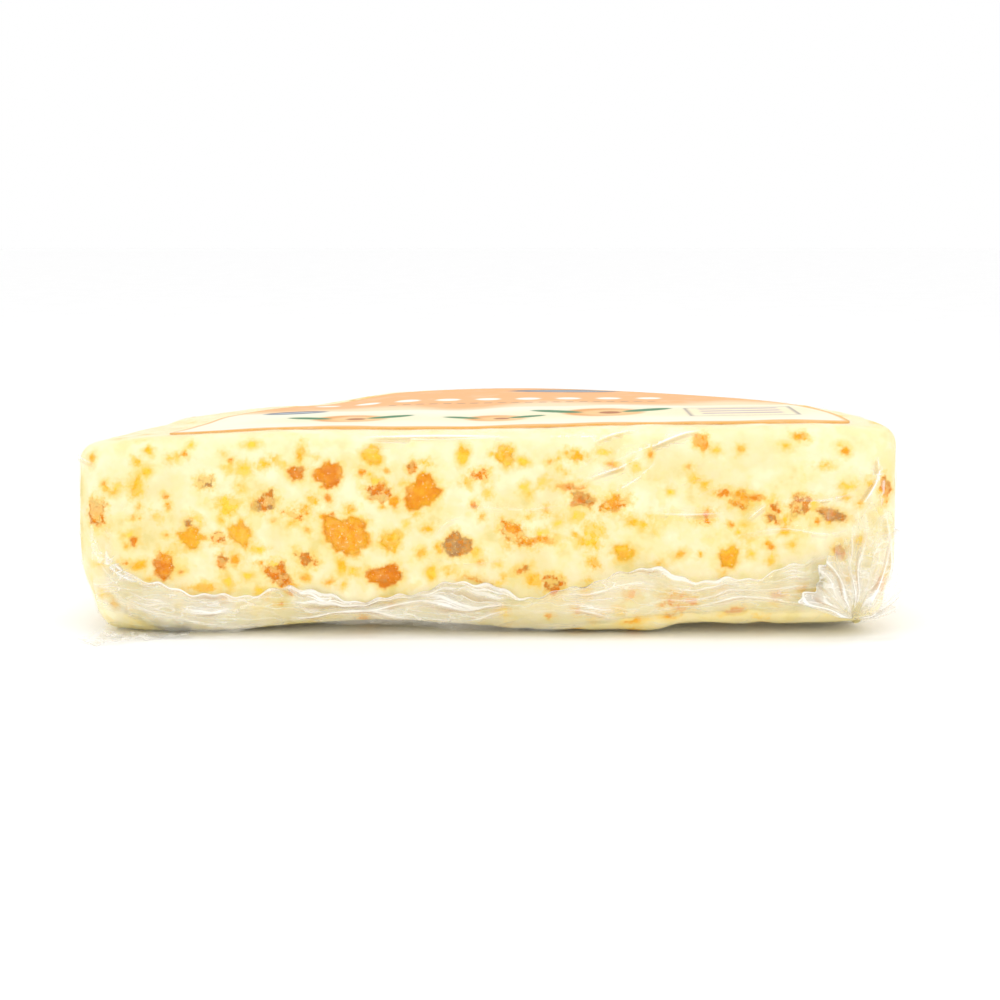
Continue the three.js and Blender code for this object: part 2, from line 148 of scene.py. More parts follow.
# Folds of the film over the cut face: a path of x and z, then height and width. The height also sets how
# strong the painted highlight line on a fold and the painted shade line beside it are.
CUT_FOLDS = [
    ([(34.2, 47.8), (41.9, 50.5), (49.7, 53.6), (54.9, 55)], 0.5, 0.8),
    ([(29, 37), (34.2, 39.6), (39.4, 43), (44.5, 48.1)], 0.35, 0.8),
    ([(25.7, 51.2), (32.1, 53.6), (39.4, 55.7)], 0.4, 0.7),
    ([(24, 41.5), (29.6, 43.6), (34.7, 45.4), (40.7, 48.9)], 0.4, 0.7),
    ([(41.2, 33), (52.3, 32.7), (61.8, 33.2)], 0.35, 0.6),
    ([(66.5, 30.9), (69.3, 33.5), (72, 35.4)], 0.32, 0.7),
    ([(99.8, 48.1), (100.6, 43.6), (98.5, 38.5), (96.5, 35.4)], 0.55, 0.8),
    ([(101.4, 46.2), (101.8, 40.1), (101.4, 33)], 0.4, 0.6),
    ([(-104.4, 34), (-100.6, 25.6), (-98.6, 19.8), (-93.7, 15.8), (-85, 13)], 0.6, 0.9),
    ([(-101.5, 30.9), (-99.2, 22.9), (-95.5, 18.4), (-90, 15.8)], 0.5, 0.7),
    ([(-106, 30), (-104.5, 22), (-101, 13)], 0.5, 0.8),
    ([(-14.9, 24.3), (-11, 30.4), (-4.5, 32.2)], 0.25, 0.7),
    ([(-20, 23), (-6, 19.6), (12, 22.4)], 0.22, 0.7),
    ([(-60, 50.5), (-30, 49.8), (5, 51)], 0.2, 0.7),
    ([(76, 36), (86, 36.5), (95, 38.6)], 0.35, 0.8),
    ([(60, 26), (75, 29), (88, 27.5), (97, 30)], 0.3, 0.9),
    # These two lie along the rounded top edge and carry its painted highlight line.
    ([(-34, 53), (-14, 53.3), (6, 53)], 0.5, 0.6),
    ([(15.5, 53.2), (28, 53)], 0.45, 0.6),
    ([(-12, 35.5), (10, 34), (26, 36.5)], 0.25, 1.2),
    ([(102.5, 35), (106, 18), (101, 8)], 0.5, 0.9),
]

# Families of seeded folds on the unrolled wall: how many, then ranges of x and z, mean angle and its spread
# in degrees, and ranges of length, rise and width. The rise also sets how strong a fold's painted highlight
# and shade lines are.
FOLD_FAMILIES = [
    (170, (107, 445), (2, 56), 10, 38, (5, 18), (0.1, 0.32), (0.5, 1.1)),
    (70, (-105, 107), (14, 54), 8, 18, (5, 16), (0.05, 0.14), (0.5, 0.9)),
    (16, (24, 58), (37, 53), 27, 7, (10, 22), (0.1, 0.24), (0.8, 1.3)),
    (22, (86, 112), (12, 50), 76, 16, (6, 16), (0.1, 0.28), (0.7, 1.3)),
    (18, (-112, -95), (10, 48), 104, 14, (6, 18), (0.1, 0.26), (0.7, 1.2)),
    (40, (-100, 90), (14, 53), 1, 6, (12, 36), (0.06, 0.16), (0.6, 1)),
    (90, (-105, 445), (-3, 6), 30, 14, (4, 11), (0.12, 0.3), (0.6, 1)),
    (90, (-105, 445), (-3, 6), -30, 14, (4, 11), (0.12, 0.3), (0.6, 1)),
]
FOLD_SEED = 31
FOLD_STEPS = 28  # points along a fold's path
# A fold colours the film with a painted highlight line on it and a painted shade line beside it.
FOLD_REACH = 2.2  # how far from its path a fold still colours the film

# Seeded bits in the surface: how many, and where the draws start
CUT_RIM_SEED = 7
SIDE_RIM_SEED = 8
BITS_SEED = 9
FACE_CRUMBS = 110
FACE_STAINS = 64
SIDE_BITS = 230
FLAT_BITS = 210
TOP_BITS = 60  # of the flat ones

# Points of the meshes: along the cut face, round a corner and round the arc, up the wall and over an edge
PASTE_COLUMNS = {"front": 330, "corner": 18, "arc": 260}
FILM_COLUMNS = {"front": 400, "corner": 16, "arc": 250}
WALL_ROWS = 78
EDGE_ROWS = 10
PIECE_COLUMNS = 96
PIECE_ROWS = 12
PIECE_RIM = 0.9  # of the drawn rim, as the paint takes over outside it
SHEET_THICKNESS = 0.12

SMOOTH = {"interpolation_type": "SMOOTHSTEP"}

# Colour of apricot from gold 0 to brown 1
APRICOT_TONES = [
    (0.0, "#f9d44a"), (0.25, "#f4bd2c"), (0.45, "#efa820"), (0.62, "#ea9416"), (0.8, "#de7c08"),
    (0.92, "#cd8a34"), (1.0, "#b98a55"),
]

# Print of the label, from its centre: washes and seals as centre and half size, fruits as centre and size
LABEL_WASHES = (((-44, 22), (22, 9)), ((26, 26), (24, 11)), ((-4, 18), (16, 8)), ((64, 24), (22, 13)))
LABEL_FRUITS = (((-44, 22), 7.5), ((26, 27), 8.5), ((-4, 18), 6))
LABEL_SEALS = (((-61, 41), (9, 3.6)), ((18, 82), (17, 3.4)))

# Stage: each light's place and aim in the wheel's millimetres, its size in metres, and whose power it has
LIGHTS = [
    ("top_light", (0, -60, 720), (0, 40, 40), (0.30, 0.22), "key_power"),
    ("left_light", (-620, -420, 330), (0, 40, 40), (0.16, 0.4), "side_power"),
    ("right_light", (560, -520, 260), (0, 40, 40), (0.14, 0.36), "side_power"),
    ("front_light", (0, -640, 70), (0, 0, 12), (0.6, 0.1), "front_power"),
]
FLOOR_HALF = 4
CAMERA_PLACE = (3.21, -408, 110.67)
CAMERA_PITCH = 10.31  # degrees below level
CAMERA_LENS = 57.94


def to_part(points):
    """The wheel's millimetres as the part's metres."""
    return (np.asarray(points, dtype=float) + SHIFT) / 1000


def smooth(value, low, high):
    """A smooth step: 0 below low, 1 above high, and 3t^2 - 2t^3 between."""
    t = np.clip((value - low) / (high - low), 0, 1)
    return t * t * (3 - 2 * t)


def bell(distance, width):
    """A bell curve: e to the power of minus the squared distance over the width."""
    return np.exp(-((distance / width) ** 2))


def value_noise(points, cell, seed):
    """Smooth noise from -1 to 1: random values at the corners of cubes, blended in between."""
    lattice = np.random.default_rng(seed).uniform(-1, 1, (48, 48, 48))
    place = points / cell + 480
    corner = np.floor(place).astype(int)
    part = place - corner
    part = part * part * (3 - 2 * part)
    total = np.zeros(points.shape[:-1])
    for step in np.ndindex(2, 2, 2):
        index = (corner + step) % 48
        weight = np.prod(np.where(np.array(step) == 1, part, 1 - part), axis=-1)
        total += weight * lattice[index[..., 0], index[..., 1], index[..., 2]]
    return total


def spline(points, along):
    """A smooth curve through points at shares of the way: cubic pieces, with slopes from the neighbours."""
    points = np.asarray(points, dtype=float)
    last = len(points) - 1
    place = np.clip(along, 0, 1) * last
    i = np.clip(place.astype(int), 0, last - 1)
    t = (place - i)[..., None]
    before, start = points[np.maximum(i - 1, 0)], points[i]
    end, after = points[i + 1], points[np.minimum(i + 2, last)]
    v0, v1 = (end - before) / 2, (after - start) / 2
    cubed = 2 * start - 2 * end + v0 + v1
    squared = 3 * end - 3 * start - 2 * v0 - v1
    return cubed * t**3 + squared * t**2 + v0 * t + start


def top_height(x, y):
    """Height of the top over the table, as in the part."""
    around = np.degrees(np.arctan2(y, x))
    towards_rim = smooth(np.hypot(x, y), 0.5 * WHEEL_RADIUS, WHEEL_RADIUS) * smooth(y, 0, 30)
    back_left = 1.3 * smooth(around, 106, 118) + 0.8 * bell(around - 122, 6) + 0.9 * smooth(around, 147, 155)
    rim = 0.3 * bell(around - 92, 18) - 0.8 * bell(around - 55, 22) - back_left
    ends = 0.7 * smooth(x, 80, 102) + 1.1 * smooth(-x, 88, 104)
    front = 0.9 * bell(x + 50, 24) + 0.4 * bell(x - 40, 20) - ends
    return HEIGHT + RISE_TO_RIGHT * x + towards_rim * rim + (1 - smooth(y, 0, 35)) * front


def underside_height(x, y):
    """Height of the underside over the table, as in the part."""
    left_lift = FOOT_LIFT * np.maximum(0, 1.15 * bell(x + 28, 32) - 0.15)
    right_lift = RIGHT_LIFT * smooth(x, 42, 54)
    return (left_lift + right_lift) * (1 - smooth(y, 2, 26))


def paste_wave(x, y, z):
    """Slow unevenness of the pressed paste, as in the part."""
    along = 0.5 * np.sin(x / 9 + 1.3 * np.sin(z / 8))
    across = 0.3 * np.sin((x + z) / 5.5 + 2)
    return along + across + 0.4 * np.sin(y / 8 + z / 11 + 1)


def wall_relief(x, y, z):
    """How far the wall stands out beyond the plain outline, as in the part."""
    front = 1 - smooth(y, 0, 12)
    bulge = WALL_BULGE * (1 - 0.6 * front) * np.sin(np.pi * np.clip(z / HEIGHT, 0, 1))
    roll = FOOT_ROLL * front * smooth(x, -5, 25) * bell(z - 5, 5)
    hollows = 1.2 * bell(x - 88, 10) * bell(z - 33, 4) + 0.6 * bell(x - 25, 16) * bell(z - 38, 7)
    taper = END_TAPER * smooth(np.abs(x), 88, WHEEL_RADIUS) * (1 - smooth(z, 4, 20))
    wave = SURFACE_WAVE * paste_wave(x, y, z) * smooth(z, -4, 12)
    return bulge + roll + wave - taper - front * hollows


def outline(inset, columns):
    """Points and outward angles round the half wheel: cut face, right corner, round side, left corner."""
    radius = WHEEL_RADIUS - inset
    corner = max(CORNER_RADIUS - inset, 1.5)
    corner_y = inset + corner
    corner_x = math.sqrt((radius - corner) ** 2 - corner_y**2)
    start = math.atan2(corner_y, corner_x)
    front, bend, arc = (np.arange(columns[name]) / columns[name] for name in ("front", "corner", "arc"))
    right = -math.pi / 2 + (start + math.pi / 2) * bend
    left = math.pi - start + (start + math.pi / 2) * bend
    back = start + (math.pi - 2 * start) * arc
    x = np.concatenate([
        corner_x * (2 * front - 1), corner_x + corner * np.cos(right), radius * np.cos(back),
        -corner_x + corner * np.cos(left),
    ])
    y = np.concatenate([
        np.full(len(front), inset), corner_y + corner * np.sin(right), radius * np.sin(back),
        corner_y + corner * np.sin(left),
    ])
    angle = np.concatenate([np.full(len(front), -math.pi / 2), right, back, left])
    return x, y, angle


def wall_ring(columns, inset, share, rise, drop):
    """One ring round the wall, at a share of the way from foot to top, pushed out by the wall's relief."""
    x, y, angle = outline(inset, columns)
    low = underside_height(x, y) + rise
    high = top_height(x, y) - drop
    z = low + (high - low) * share
    out = wall_relief(x, y, z)
    return np.stack([x + np.cos(angle) * out, y + np.sin(angle) * out, z], axis=-1)


def flat_ring(columns, inset, scale, height_at):
    """One ring on the flat top or underside: the edge ring shrunk about the middle."""
    x, y, _ = outline(inset, columns)
    middle = 0.43 * WHEEL_RADIUS
    x, y = x * scale, middle + (y - middle) * scale
    return np.stack([x, y, height_at(x, y)], axis=-1)


def half_wheel(columns, wall_rows):
    """The half wheel's surface as a grid of rings, from the underside's middle over the wall to the top's."""
    turns = [math.pi / 2 * i / EDGE_ROWS for i in range(EDGE_ROWS + 1)]
    flats = (0, 0.12, 0.24, 0.36, 0.48, 0.6, 0.7, 0.78, 0.84, 0.89, 0.93, 0.97)
    rings = [flat_ring(columns, FOOT_EDGE, scale, underside_height) for scale in flats]
    for turn in turns:
        inset, rise = FOOT_EDGE * (1 - math.sin(turn)), FOOT_EDGE * (1 - math.cos(turn))
        rings.append(wall_ring(columns, inset, 0, rise, 0))
    rings += [wall_ring(columns, 0, i / wall_rows, FOOT_EDGE, TOP_EDGE) for i in range(1, wall_rows)]
    for turn in turns:
        inset, drop = TOP_EDGE * (1 - math.cos(turn)), TOP_EDGE * (1 - math.sin(turn))
        rings.append(wall_ring(columns, inset, 1, 0, drop))
    rings += [flat_ring(columns, TOP_EDGE, scale, top_height) for scale in reversed(flats)]
    return np.array(rings)


def grid_normals(grid, wrap):
    """Outward directions of a grid: the cross product of its steps along and up."""
    if wrap:
        along = np.roll(grid, -1, axis=1) - np.roll(grid, 1, axis=1)
    else:
        along = np.gradient(grid, axis=1)
    normal = np.cross(along, np.gradient(grid, axis=0))
    length = np.linalg.norm(normal, axis=-1, keepdims=True)
    return normal / np.maximum(length, 1e-9)


def wheel_normals(grid):
    """The wheel grid's outward directions, straight down and up at its two poles."""
    normal = grid_normals(grid, wrap=True)
    normal[0], normal[-1] = (0, 0, -1), (0, 0, 1)
    return normal


def wall_places(grid):
    """Each grid point's place on the unrolled wall: distance round from the left end, and height up it."""
    base = grid[len(grid) // 2]
    round_steps = np.linalg.norm(np.diff(base, axis=0), axis=1)
    around = np.concatenate([[0], np.cumsum(round_steps)]) - WHEEL_RADIUS + CORNER_RADIUS
    up_steps = np.linalg.norm(np.diff(grid, axis=0), axis=-1)
    up = np.concatenate([np.zeros((1, grid.shape[1])), np.cumsum(up_steps, axis=0)])
    middle = len(grid) // 2
    up = up - up[middle] + grid[middle, :, 2]
    return np.stack([np.broadcast_to(around, up.shape), up], axis=-1)


def grid_quads(rows, columns, wrap):
    """Corner numbers of the quads between neighbouring points of a grid, counted row by row."""
    index = np.arange(rows * columns).reshape(rows, columns)
    right = np.roll(index, -1, axis=1) if wrap else index[:, 1:]
    left = index if wrap else index[:, :-1]
    return np.stack([left[:-1], right[:-1], right[1:], left[1:]], axis=-1).reshape(-1, 4)


def new_object(name, vertices, faces, material):
    """A smooth mesh object in the part's frame, riding on the one body."""
    mesh = bpy.data.meshes.new(name)
    mesh.from_pydata(to_part(vertices).tolist(), [], faces)
    mesh.validate()
    mesh.shade_smooth()
    mesh.materials.append(material)
    piece = bpy.data.objects.new(name, mesh)
    bpy.context.scene.collection.objects.link(piece)
    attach(piece, "root")
    return piece


def poled(values):
    """Grid values as mesh points: the first and last row are one point each."""
    return np.concatenate([values[0][:1], values[1:-1].reshape(-1, *values.shape[2:]), values[-1][:1]])


def poled_faces(rows, columns):
    """Quads of a grid that wraps round, with a fan of triangles at each pole."""
    quads = grid_quads(rows - 2, columns, wrap=True) + 1
    first = np.arange(columns) + 1
    last = first + (rows - 3) * columns
    end = (rows - 2) * columns + 1
    bottom = np.stack([np.zeros(columns, dtype=int), np.roll(first, -1), first], axis=-1)
    top = np.stack([last, np.roll(last, -1), np.full(columns, end)], axis=-1)
    return quads.tolist() + bottom.tolist() + top.tolist()


def add_sheet(name, grid, thickness, material):
    """A thin closed sheet: the grid, a copy pushed back along its normals, and strips round the rim."""
    rows, columns = grid.shape[:2]
    back = grid - grid_normals(grid, wrap=False) * thickness
    count = rows * columns
    front_faces = grid_quads(rows, columns, wrap=False)
    index = np.arange(count).reshape(rows, columns)
    rim = np.concatenate([index[0, :-1], index[:-1, -1], index[-1, :0:-1], index[:0:-1, 0]])
    after = np.roll(rim, -1)
    strip = np.stack([rim, rim + count, after + count, after], axis=-1)
    faces = np.concatenate([front_faces, front_faces[:, ::-1] + count, strip])
    vertices = np.concatenate([grid.reshape(-1, 3), back.reshape(-1, 3)])
    piece = new_object(name, vertices, faces.tolist(), material)
    piece.data.polygons.foreach_set("use_smooth", np.arange(len(piece.data.polygons)) < 2 * len(front_faces))
    return piece


def set_attribute(piece, name, values):
    """A number for each mesh point, which a material reads by its name."""
    layer = piece.data.attributes.new(name, "FLOAT", "POINT")
    layer.data.foreach_set("value", np.asarray(values, dtype=np.float32))


def face_set_back(x):
    """How far the cut face's plain outline curves back at its upright corners: a quarter circle's drop."""
    straight = math.sqrt((WHEEL_RADIUS - CORNER_RADIUS) ** 2 - CORNER_RADIUS**2)
    into = np.clip(np.abs(x) - straight, 0, CORNER_RADIUS)
    return CORNER_RADIUS - np.sqrt(CORNER_RADIUS**2 - into**2)


def round_side(facing):
    """The round side's plain outline at an angle: the wheel's circle, drawn in at the upright corners."""
    x, y = WHEEL_RADIUS * np.cos(facing), WHEEL_RADIUS * np.sin(facing)
    straight = math.sqrt((WHEEL_RADIUS - CORNER_RADIUS) ** 2 - CORNER_RADIUS**2)
    into = np.clip(CORNER_RADIUS - y, 0, CORNER_RADIUS)
    return np.sign(x) * np.minimum(np.abs(x), straight + np.sqrt(CORNER_RADIUS**2 - into**2)), y


def fruit(facing, x, y, z, width, height, turn, tone, crumble, rng):
    """One bit of apricot on the wall: its centre, its own directions, half sizes, tone and rim lobes."""
    if facing < 0:
        y = float(face_set_back(x))
    out = wall_relief(np.float64(x), np.float64(y), np.float64(z))
    outward = np.array([math.cos(facing), math.sin(facing), 0])
    side = np.array([-math.sin(facing), math.cos(facing), 0])
    turn = math.radians(turn)
    up = np.array([0, 0, 1])
    return {
        "facing": facing,
        "centre": np.array([x, y, z]) + outward * out,
        "along": side * math.cos(turn) - up * math.sin(turn),
        "up": side * math.sin(turn) + up * math.cos(turn),
        "outward": outward,
        "half": np.array([width / 2, height / 2, (width + height) / 4 + 0.6]),
        "tone": tone,
        "crumble": crumble,
        "phases": rng.uniform(0, 2 * math.pi, 7),
    }


def rim_share(phases, angle):
    """How far a bit's rim reaches at an angle, as a share of its half size: 1 plus seven waves."""
    lobes = ((2, 0.09), (3, 0.1), (4, 0.07), (5, 0.06), (7, 0.05), (11, 0.04), (17, 0.03))
    waves = [size * np.cos(count * angle + phase) for (count, size), phase in zip(lobes, phases)]
    return 0.97 + sum(waves)


def cut_fruits():
    """The large pieces of the cut face."""
    rng = np.random.default_rng(CUT_RIM_SEED)
    return [
        fruit(-math.pi / 2, x, 0, z, width, height, turn, tone, crumble, rng)
        for x, z, width, height, turn, tone, crumble in CUT_PIECES
    ]


def side_fruits():
    """The large pieces of the round side, by the part's own repeatable draws."""
    rng = np.random.default_rng(SIDE_RIM_SEED)
    state = SIDE_SEED

    def draw():
        nonlocal state
        state = (state * 1664525 + 1013904223) % 2**32
        return state / 2**32

    fruits = []
    for i in range(SIDE_PIECES):
        facing = math.pi * (0.07 + 0.86 * (i + 0.25 + 0.5 * draw()) / SIDE_PIECES)
        z = HEIGHT * (0.22 + 0.2 * draw() if i % 2 else 0.58 + 0.2 * draw())
        width, height, turn = 5.5 + 5 * draw(), 5 + 4 * draw(), 60 * draw() - 30
        tone = (0.45, 0.8, 0.3, 0.62, 0.9)[i % 5]
        fruits.append(fruit(facing, *round_side(facing), z, width, height, turn, tone, 0.3, rng))
    return fruits


def small_fruits():
    """The smaller bits: the cut face's own, then seeded ones over the whole wheel."""
    rng = np.random.default_rng(BITS_SEED)
    fruits = [
        fruit(-math.pi / 2, x, 0, z, width, height, rng.uniform(-20, 20), tone, crumble, rng)
        for x, z, width, height, tone, crumble in CUT_BITS
    ]
    for _ in range(FACE_CRUMBS):
        x, z = rng.uniform(-104, 104), rng.uniform(3, 51)
        size = rng.uniform(0.7, 1.9)
        height, tone, crumble = size * rng.uniform(0.6, 1.2), rng.uniform(0, 0.7), rng.uniform(0, 1)
        fruits.append(fruit(-math.pi / 2, x, 0, z, size, height, 0, tone, crumble, rng))
    for _ in range(FACE_STAINS):
        x, z, size = rng.uniform(-103, 103), rng.uniform(4, 50), rng.uniform(1.2, 3.2)
        height, turn = size * rng.uniform(0.5, 0.9), rng.uniform(-50, 50)
        tone, crumble = rng.uniform(-0.05, 0.4), rng.uniform(0.3, 0.9)
        fruits.append(fruit(-math.pi / 2, x, 0, z, size, height, turn, tone, crumble, rng))
    for _ in range(SIDE_BITS):
        facing = rng.uniform(0.1, math.pi - 0.1)
        size = rng.gamma(2.2, 1.1) + 0.8
        z, height, turn = rng.uniform(3, 52), size * rng.uniform(0.5, 1.1), rng.uniform(-60, 60)
        tone, crumble = rng.beta(1.5, 1.5), rng.uniform(0, 1)
        fruits.append(fruit(facing, *round_side(facing), z, size, height, turn, tone, crumble, rng))
    return fruits + flat_fruits(rng)


def flat_fruits(rng):
    """Seeded bits on the top's rim and over the underside, which lie level."""
    fruits = []
    for i in range(FLAT_BITS):
        facing = rng.uniform(0, math.pi)
        on_top = i < TOP_BITS
        reach = rng.uniform(93, 106) if on_top else math.sqrt(rng.uniform(0, 1)) * 106
        x, y = reach * math.cos(facing), reach * math.sin(facing)
        size = rng.gamma(2, 0.6 if on_top else 1.3) + 0.8
        width, tone, crumble = size * rng.uniform(0.5, 1), rng.beta(1.3, 2), rng.uniform(0, 1)
        bit = fruit(facing, x, y, 0, size, width, 0, tone, crumble, rng)
        surface = top_height if on_top else underside_height
        bit["centre"] = np.array([x, y, surface(np.float64(x), np.float64(y))])
        bit["up"], bit["outward"] = np.array([math.cos(facing), math.sin(facing), 0]), np.array([0, 0, 1])
        fruits.append(bit)
    return fruits


def fruit_fields(points, fruits):
    """For each point the distance inside the nearest bit's rim, and that bit's tone and crumble.

    A bit is an ellipsoid whose rim waves in and out: the distance is rim share less the scaled radius, times
    the smaller half size.
    """
    inside = np.full(len(points), -6.0)
    tone, crumble = np.full(len(points), 0.3), np.zeros(len(points))
    for bit in fruits:
        reach = bit["half"].max() * 1.4 + 4
        near = np.flatnonzero(np.abs(points - bit["centre"]).max(axis=1) < reach)
        away = points[near] - bit["centre"]
        u, v, w = (away @ bit[name] / half for name, half in zip(("along", "up", "outward"), bit["half"]))
        radius = np.sqrt(u * u + v * v + w * w)
        depth = (rim_share(bit["phases"], np.arctan2(v, u)) - radius) * bit["half"][:2].min()
        better = depth > inside[near]
        chosen = near[better]
        inside[chosen] = depth[better]
        tone[chosen], crumble[chosen] = bit["tone"], bit["crumble"]
    return inside, tone, crumble


def foot_share(points):
    """Where the paste bulges out in a roll at the foot of the cut face: 1 on the roll, 0 away from it."""
    low, right = 1 - smooth(points[:, 2], 3, 10), smooth(points[:, 0], -15, 30)
    return low * right * (1 - smooth(points[:, 1], 4, 14))


def fold_fields(places, folds):
    """The film's folds at places on the unrolled wall: height, signed distance to the nearest path, and its
    rise, which sets how strong the painted highlight and shade lines along it are.

    A fold is a bell across its path, thinning at its ends.
    """
    height, side, strength = np.zeros(len(places)), np.full(len(places), 3.0), np.zeros(len(places))
    for path, rise, width in folds:
        line = spline(path, np.linspace(0, 1, FOLD_STEPS))
        low, high = line.min(axis=0) - 3 * width, line.max(axis=0) + 3 * width
        near = np.flatnonzero(((places > low) & (places < high)).all(axis=1))
        start, step = line[:-1], np.diff(line, axis=0)
        away = places[near][:, None] - start
        share = np.clip((away * step).sum(axis=-1) / (step**2).sum(axis=-1), 0, 1)
        offset = away - share[..., None] * step
        distance = np.linalg.norm(offset, axis=-1)
        nearest = distance.argmin(axis=1)
        row = np.arange(len(near))
        along = (nearest + share[row, nearest]) / len(step)
        taper = np.clip(np.sin(math.pi * along), 0, 1) ** 0.6
        distance, offset = distance[row, nearest], offset[row, nearest]
        height[near] = np.maximum(height[near], rise * taper * bell(distance, width))
        cross = step[nearest, 0] * offset[:, 1] - step[nearest, 1] * offset[:, 0]
        closer = (distance < np.abs(side[near])) & (distance < FOLD_REACH)
        chosen = near[closer]
        side[chosen] = (np.sign(cross) * distance)[closer]
        strength[chosen] = (rise * taper)[closer]
    return height, side, strength


def seeded_folds():
    """Folds by seeded draws from each family: a bent line through a middle, with its rise and width."""
    rng = np.random.default_rng(FOLD_SEED)
    folds = []
    for count, across, up, mean, spread, lengths, rises, widths in FOLD_FAMILIES:
        for _ in range(count):
            middle = np.array([rng.uniform(*across), rng.uniform(*up)])
            angle = math.radians(rng.normal(mean, spread))
            step = np.array([math.cos(angle), math.sin(angle)]) * rng.uniform(*lengths) / 2
            bend = np.array([-step[1], step[0]]) * rng.uniform(-0.3, 0.3)
            path = [middle - step, middle + bend, middle + step]
            folds.append((path, rng.uniform(*rises), rng.uniform(*widths)))
    return folds


def linear(code):
    """An sRGB hex code as linear red, green, blue and alpha. A colour property is linear already."""
    if not isinstance(code, str):
        return tuple(code)
    parts = [int(code[i:i + 2], 16) / 255 for i in (1, 3, 5)]
    return tuple(p / 12.92 if p <= 0.04045 else ((p + 0.055) / 1.055) ** 2.4 for p in parts) + (1.0,)


def add_node(material, kind, values=(), output=None, stops=(), **settings):
    """Adds a node with its settings, and returns its first output in use, or the named one.

    Values and links go to its inputs: a list to those in use from the first on, a dict to those that it
    names. Stops are the places and colours of a colour ramp.
    """
    made = material.node_tree.nodes.new("ShaderNode" + kind)
    for name, value in settings.items():
        setattr(made, name, value)
    elements = made.color_ramp.elements if stops else []
    while len(elements) < len(stops):
        elements.new(0.5)
    for element, (place, code) in zip(elements, stops):
        element.position, element.color = place, linear(code)
    if isinstance(values, dict):
        filled = [(made.inputs[name], value) for name, value in values.items()]
    else:
        filled = zip([socket for socket in made.inputs if socket.enabled], values)
    for socket, value in filled:
        if isinstance(value, bpy.types.NodeSocket):
            material.node_tree.links.new(value, socket)
        else:
            socket.default_value = value
    if output:
        return made.outputs[output]
    return next((socket for socket in made.outputs if socket.enabled), None)


def new_material(name):
    """An empty node material, what adds a node to it, and its Object coordinates."""
    material = bpy.data.materials.new(name)
    material.use_nodes = True
    material.node_tree.nodes.clear()
    add = partial(add_node, material)
    return material, add, add("TexCoord", output="Object")


def waves(size_mm):
    """The scale of a texture whose waves are a real size across."""
    return 1000 / size_mm


def curd_colour(add, where, settings):
    """Colour of the curd: cream with paler lumps and yellow stains, painted olive shade in hollows, painted
    light on the upper part and painted shade on the roll at the foot.
    """
    # The darkest stop is painted shade: olive darker curd for the shadow in hollows.
    curd = add("ValToRGB", [add("TexNoise", [where, waves(8), 3, 0.6])], stops=[
        (0.32, settings.hollow_shade), (0.43, "#f5e7ae"), (0.54, settings.paste), (0.68, "#fdf4ce"),
    ])
    stains = add("TexNoise", [where, waves(7), 3, 0.65])
    hollows = add("TexNoise", [where, waves(19), 2, 0.6])
    height = add("SeparateXYZ", [where], output="Z")
    # Tints: yellow stains of the curd's own, painted olive shade in hollows, and painted light that makes the
    # upper part lighter.
    tints = [
        (stains, 0.55, 0.64, 0.42, "#f6dc7e"), (hollows, 0.50, 0.66, 0.5, "#e6d796"),
        (height, 0.036, 0.054, 0.4, "#fdf4d0"),
    ]
    for value, low, high, most, code in tints:
        share = add("MapRange", [value, low, high, 0, most], **SMOOTH)
        curd = add("Mix", [share, curd, linear(code)], data_type="RGBA")
    # Painted shade: the roll at the foot of the cut face, under the fin, darkened towards ochre.
    foot = add("Attribute", output="Fac", attribute_name="foot")
    share = add("Math", [foot, 0.6], operation="MULTIPLY")
    return add("Mix", [share, curd, linear("#eedd9c")], data_type="RGBA")


def fruit_over(add, where, under):
    """Apricot colour laid over the curd's: soft at the rim, holed where it crumbles, a yellow halo outside.

    Everything follows from the distance inside the rim, so the bits that are painted and those that are
    pieces of their own look alike, and meet without a step.
    """
    inside, tone, crumble = (
        add("Attribute", output="Fac", attribute_name=name) for name in ("inside", "tone", "crumble")
    )
    fine = add("Math", [add("TexNoise", [where, waves(1.7), 3, 0.65]), 0.5], operation="SUBTRACT")
    reach = add("Math", [crumble, 2.6, 1.6], operation="MULTIPLY_ADD")
    rough_inside = add("Math", [fine, reach, inside], operation="MULTIPLY_ADD")
    fleck = add("MapRange", [rough_inside, -0.4, 0.5, 0, 1], **SMOOTH)
    holes = add("MapRange", [add("TexNoise", [where, waves(2), 2, 0.6]), 0.42, 0.58, 0.85, 0], **SMOOTH)
    gaps = add("Math", [crumble, holes], operation="MULTIPLY")
    share = add("Math", [fleck, add("Math", [1, gaps], operation="SUBTRACT")], operation="MULTIPLY")
    mottle = add("Math", [add("TexNoise", [where, waves(2.2), 4, 0.72]), 0.54], operation="SUBTRACT")
    colour = add("ValToRGB", [add("Math", [tone, mottle], operation="ADD")], stops=APRICOT_TONES)
    veil = add("MapRange", [add("TexNoise", [where, waves(3.4), 2, 0.6]), 0.52, 0.7, 0, 0.2], **SMOOTH)
    colour = add("Mix", [veil, colour, linear("#fbdc88")], data_type="RGBA")
    around = add("Math", [rough_inside, fine], operation="ADD")
    halo = add("MapRange", [around, -1.9, 0.3, 0, 0.66], **SMOOTH)
    haloed = add("Mix", [halo, under, linear("#f4cc54")], data_type="RGBA")
    return add("Mix", [share, haloed, colour], data_type="RGBA")


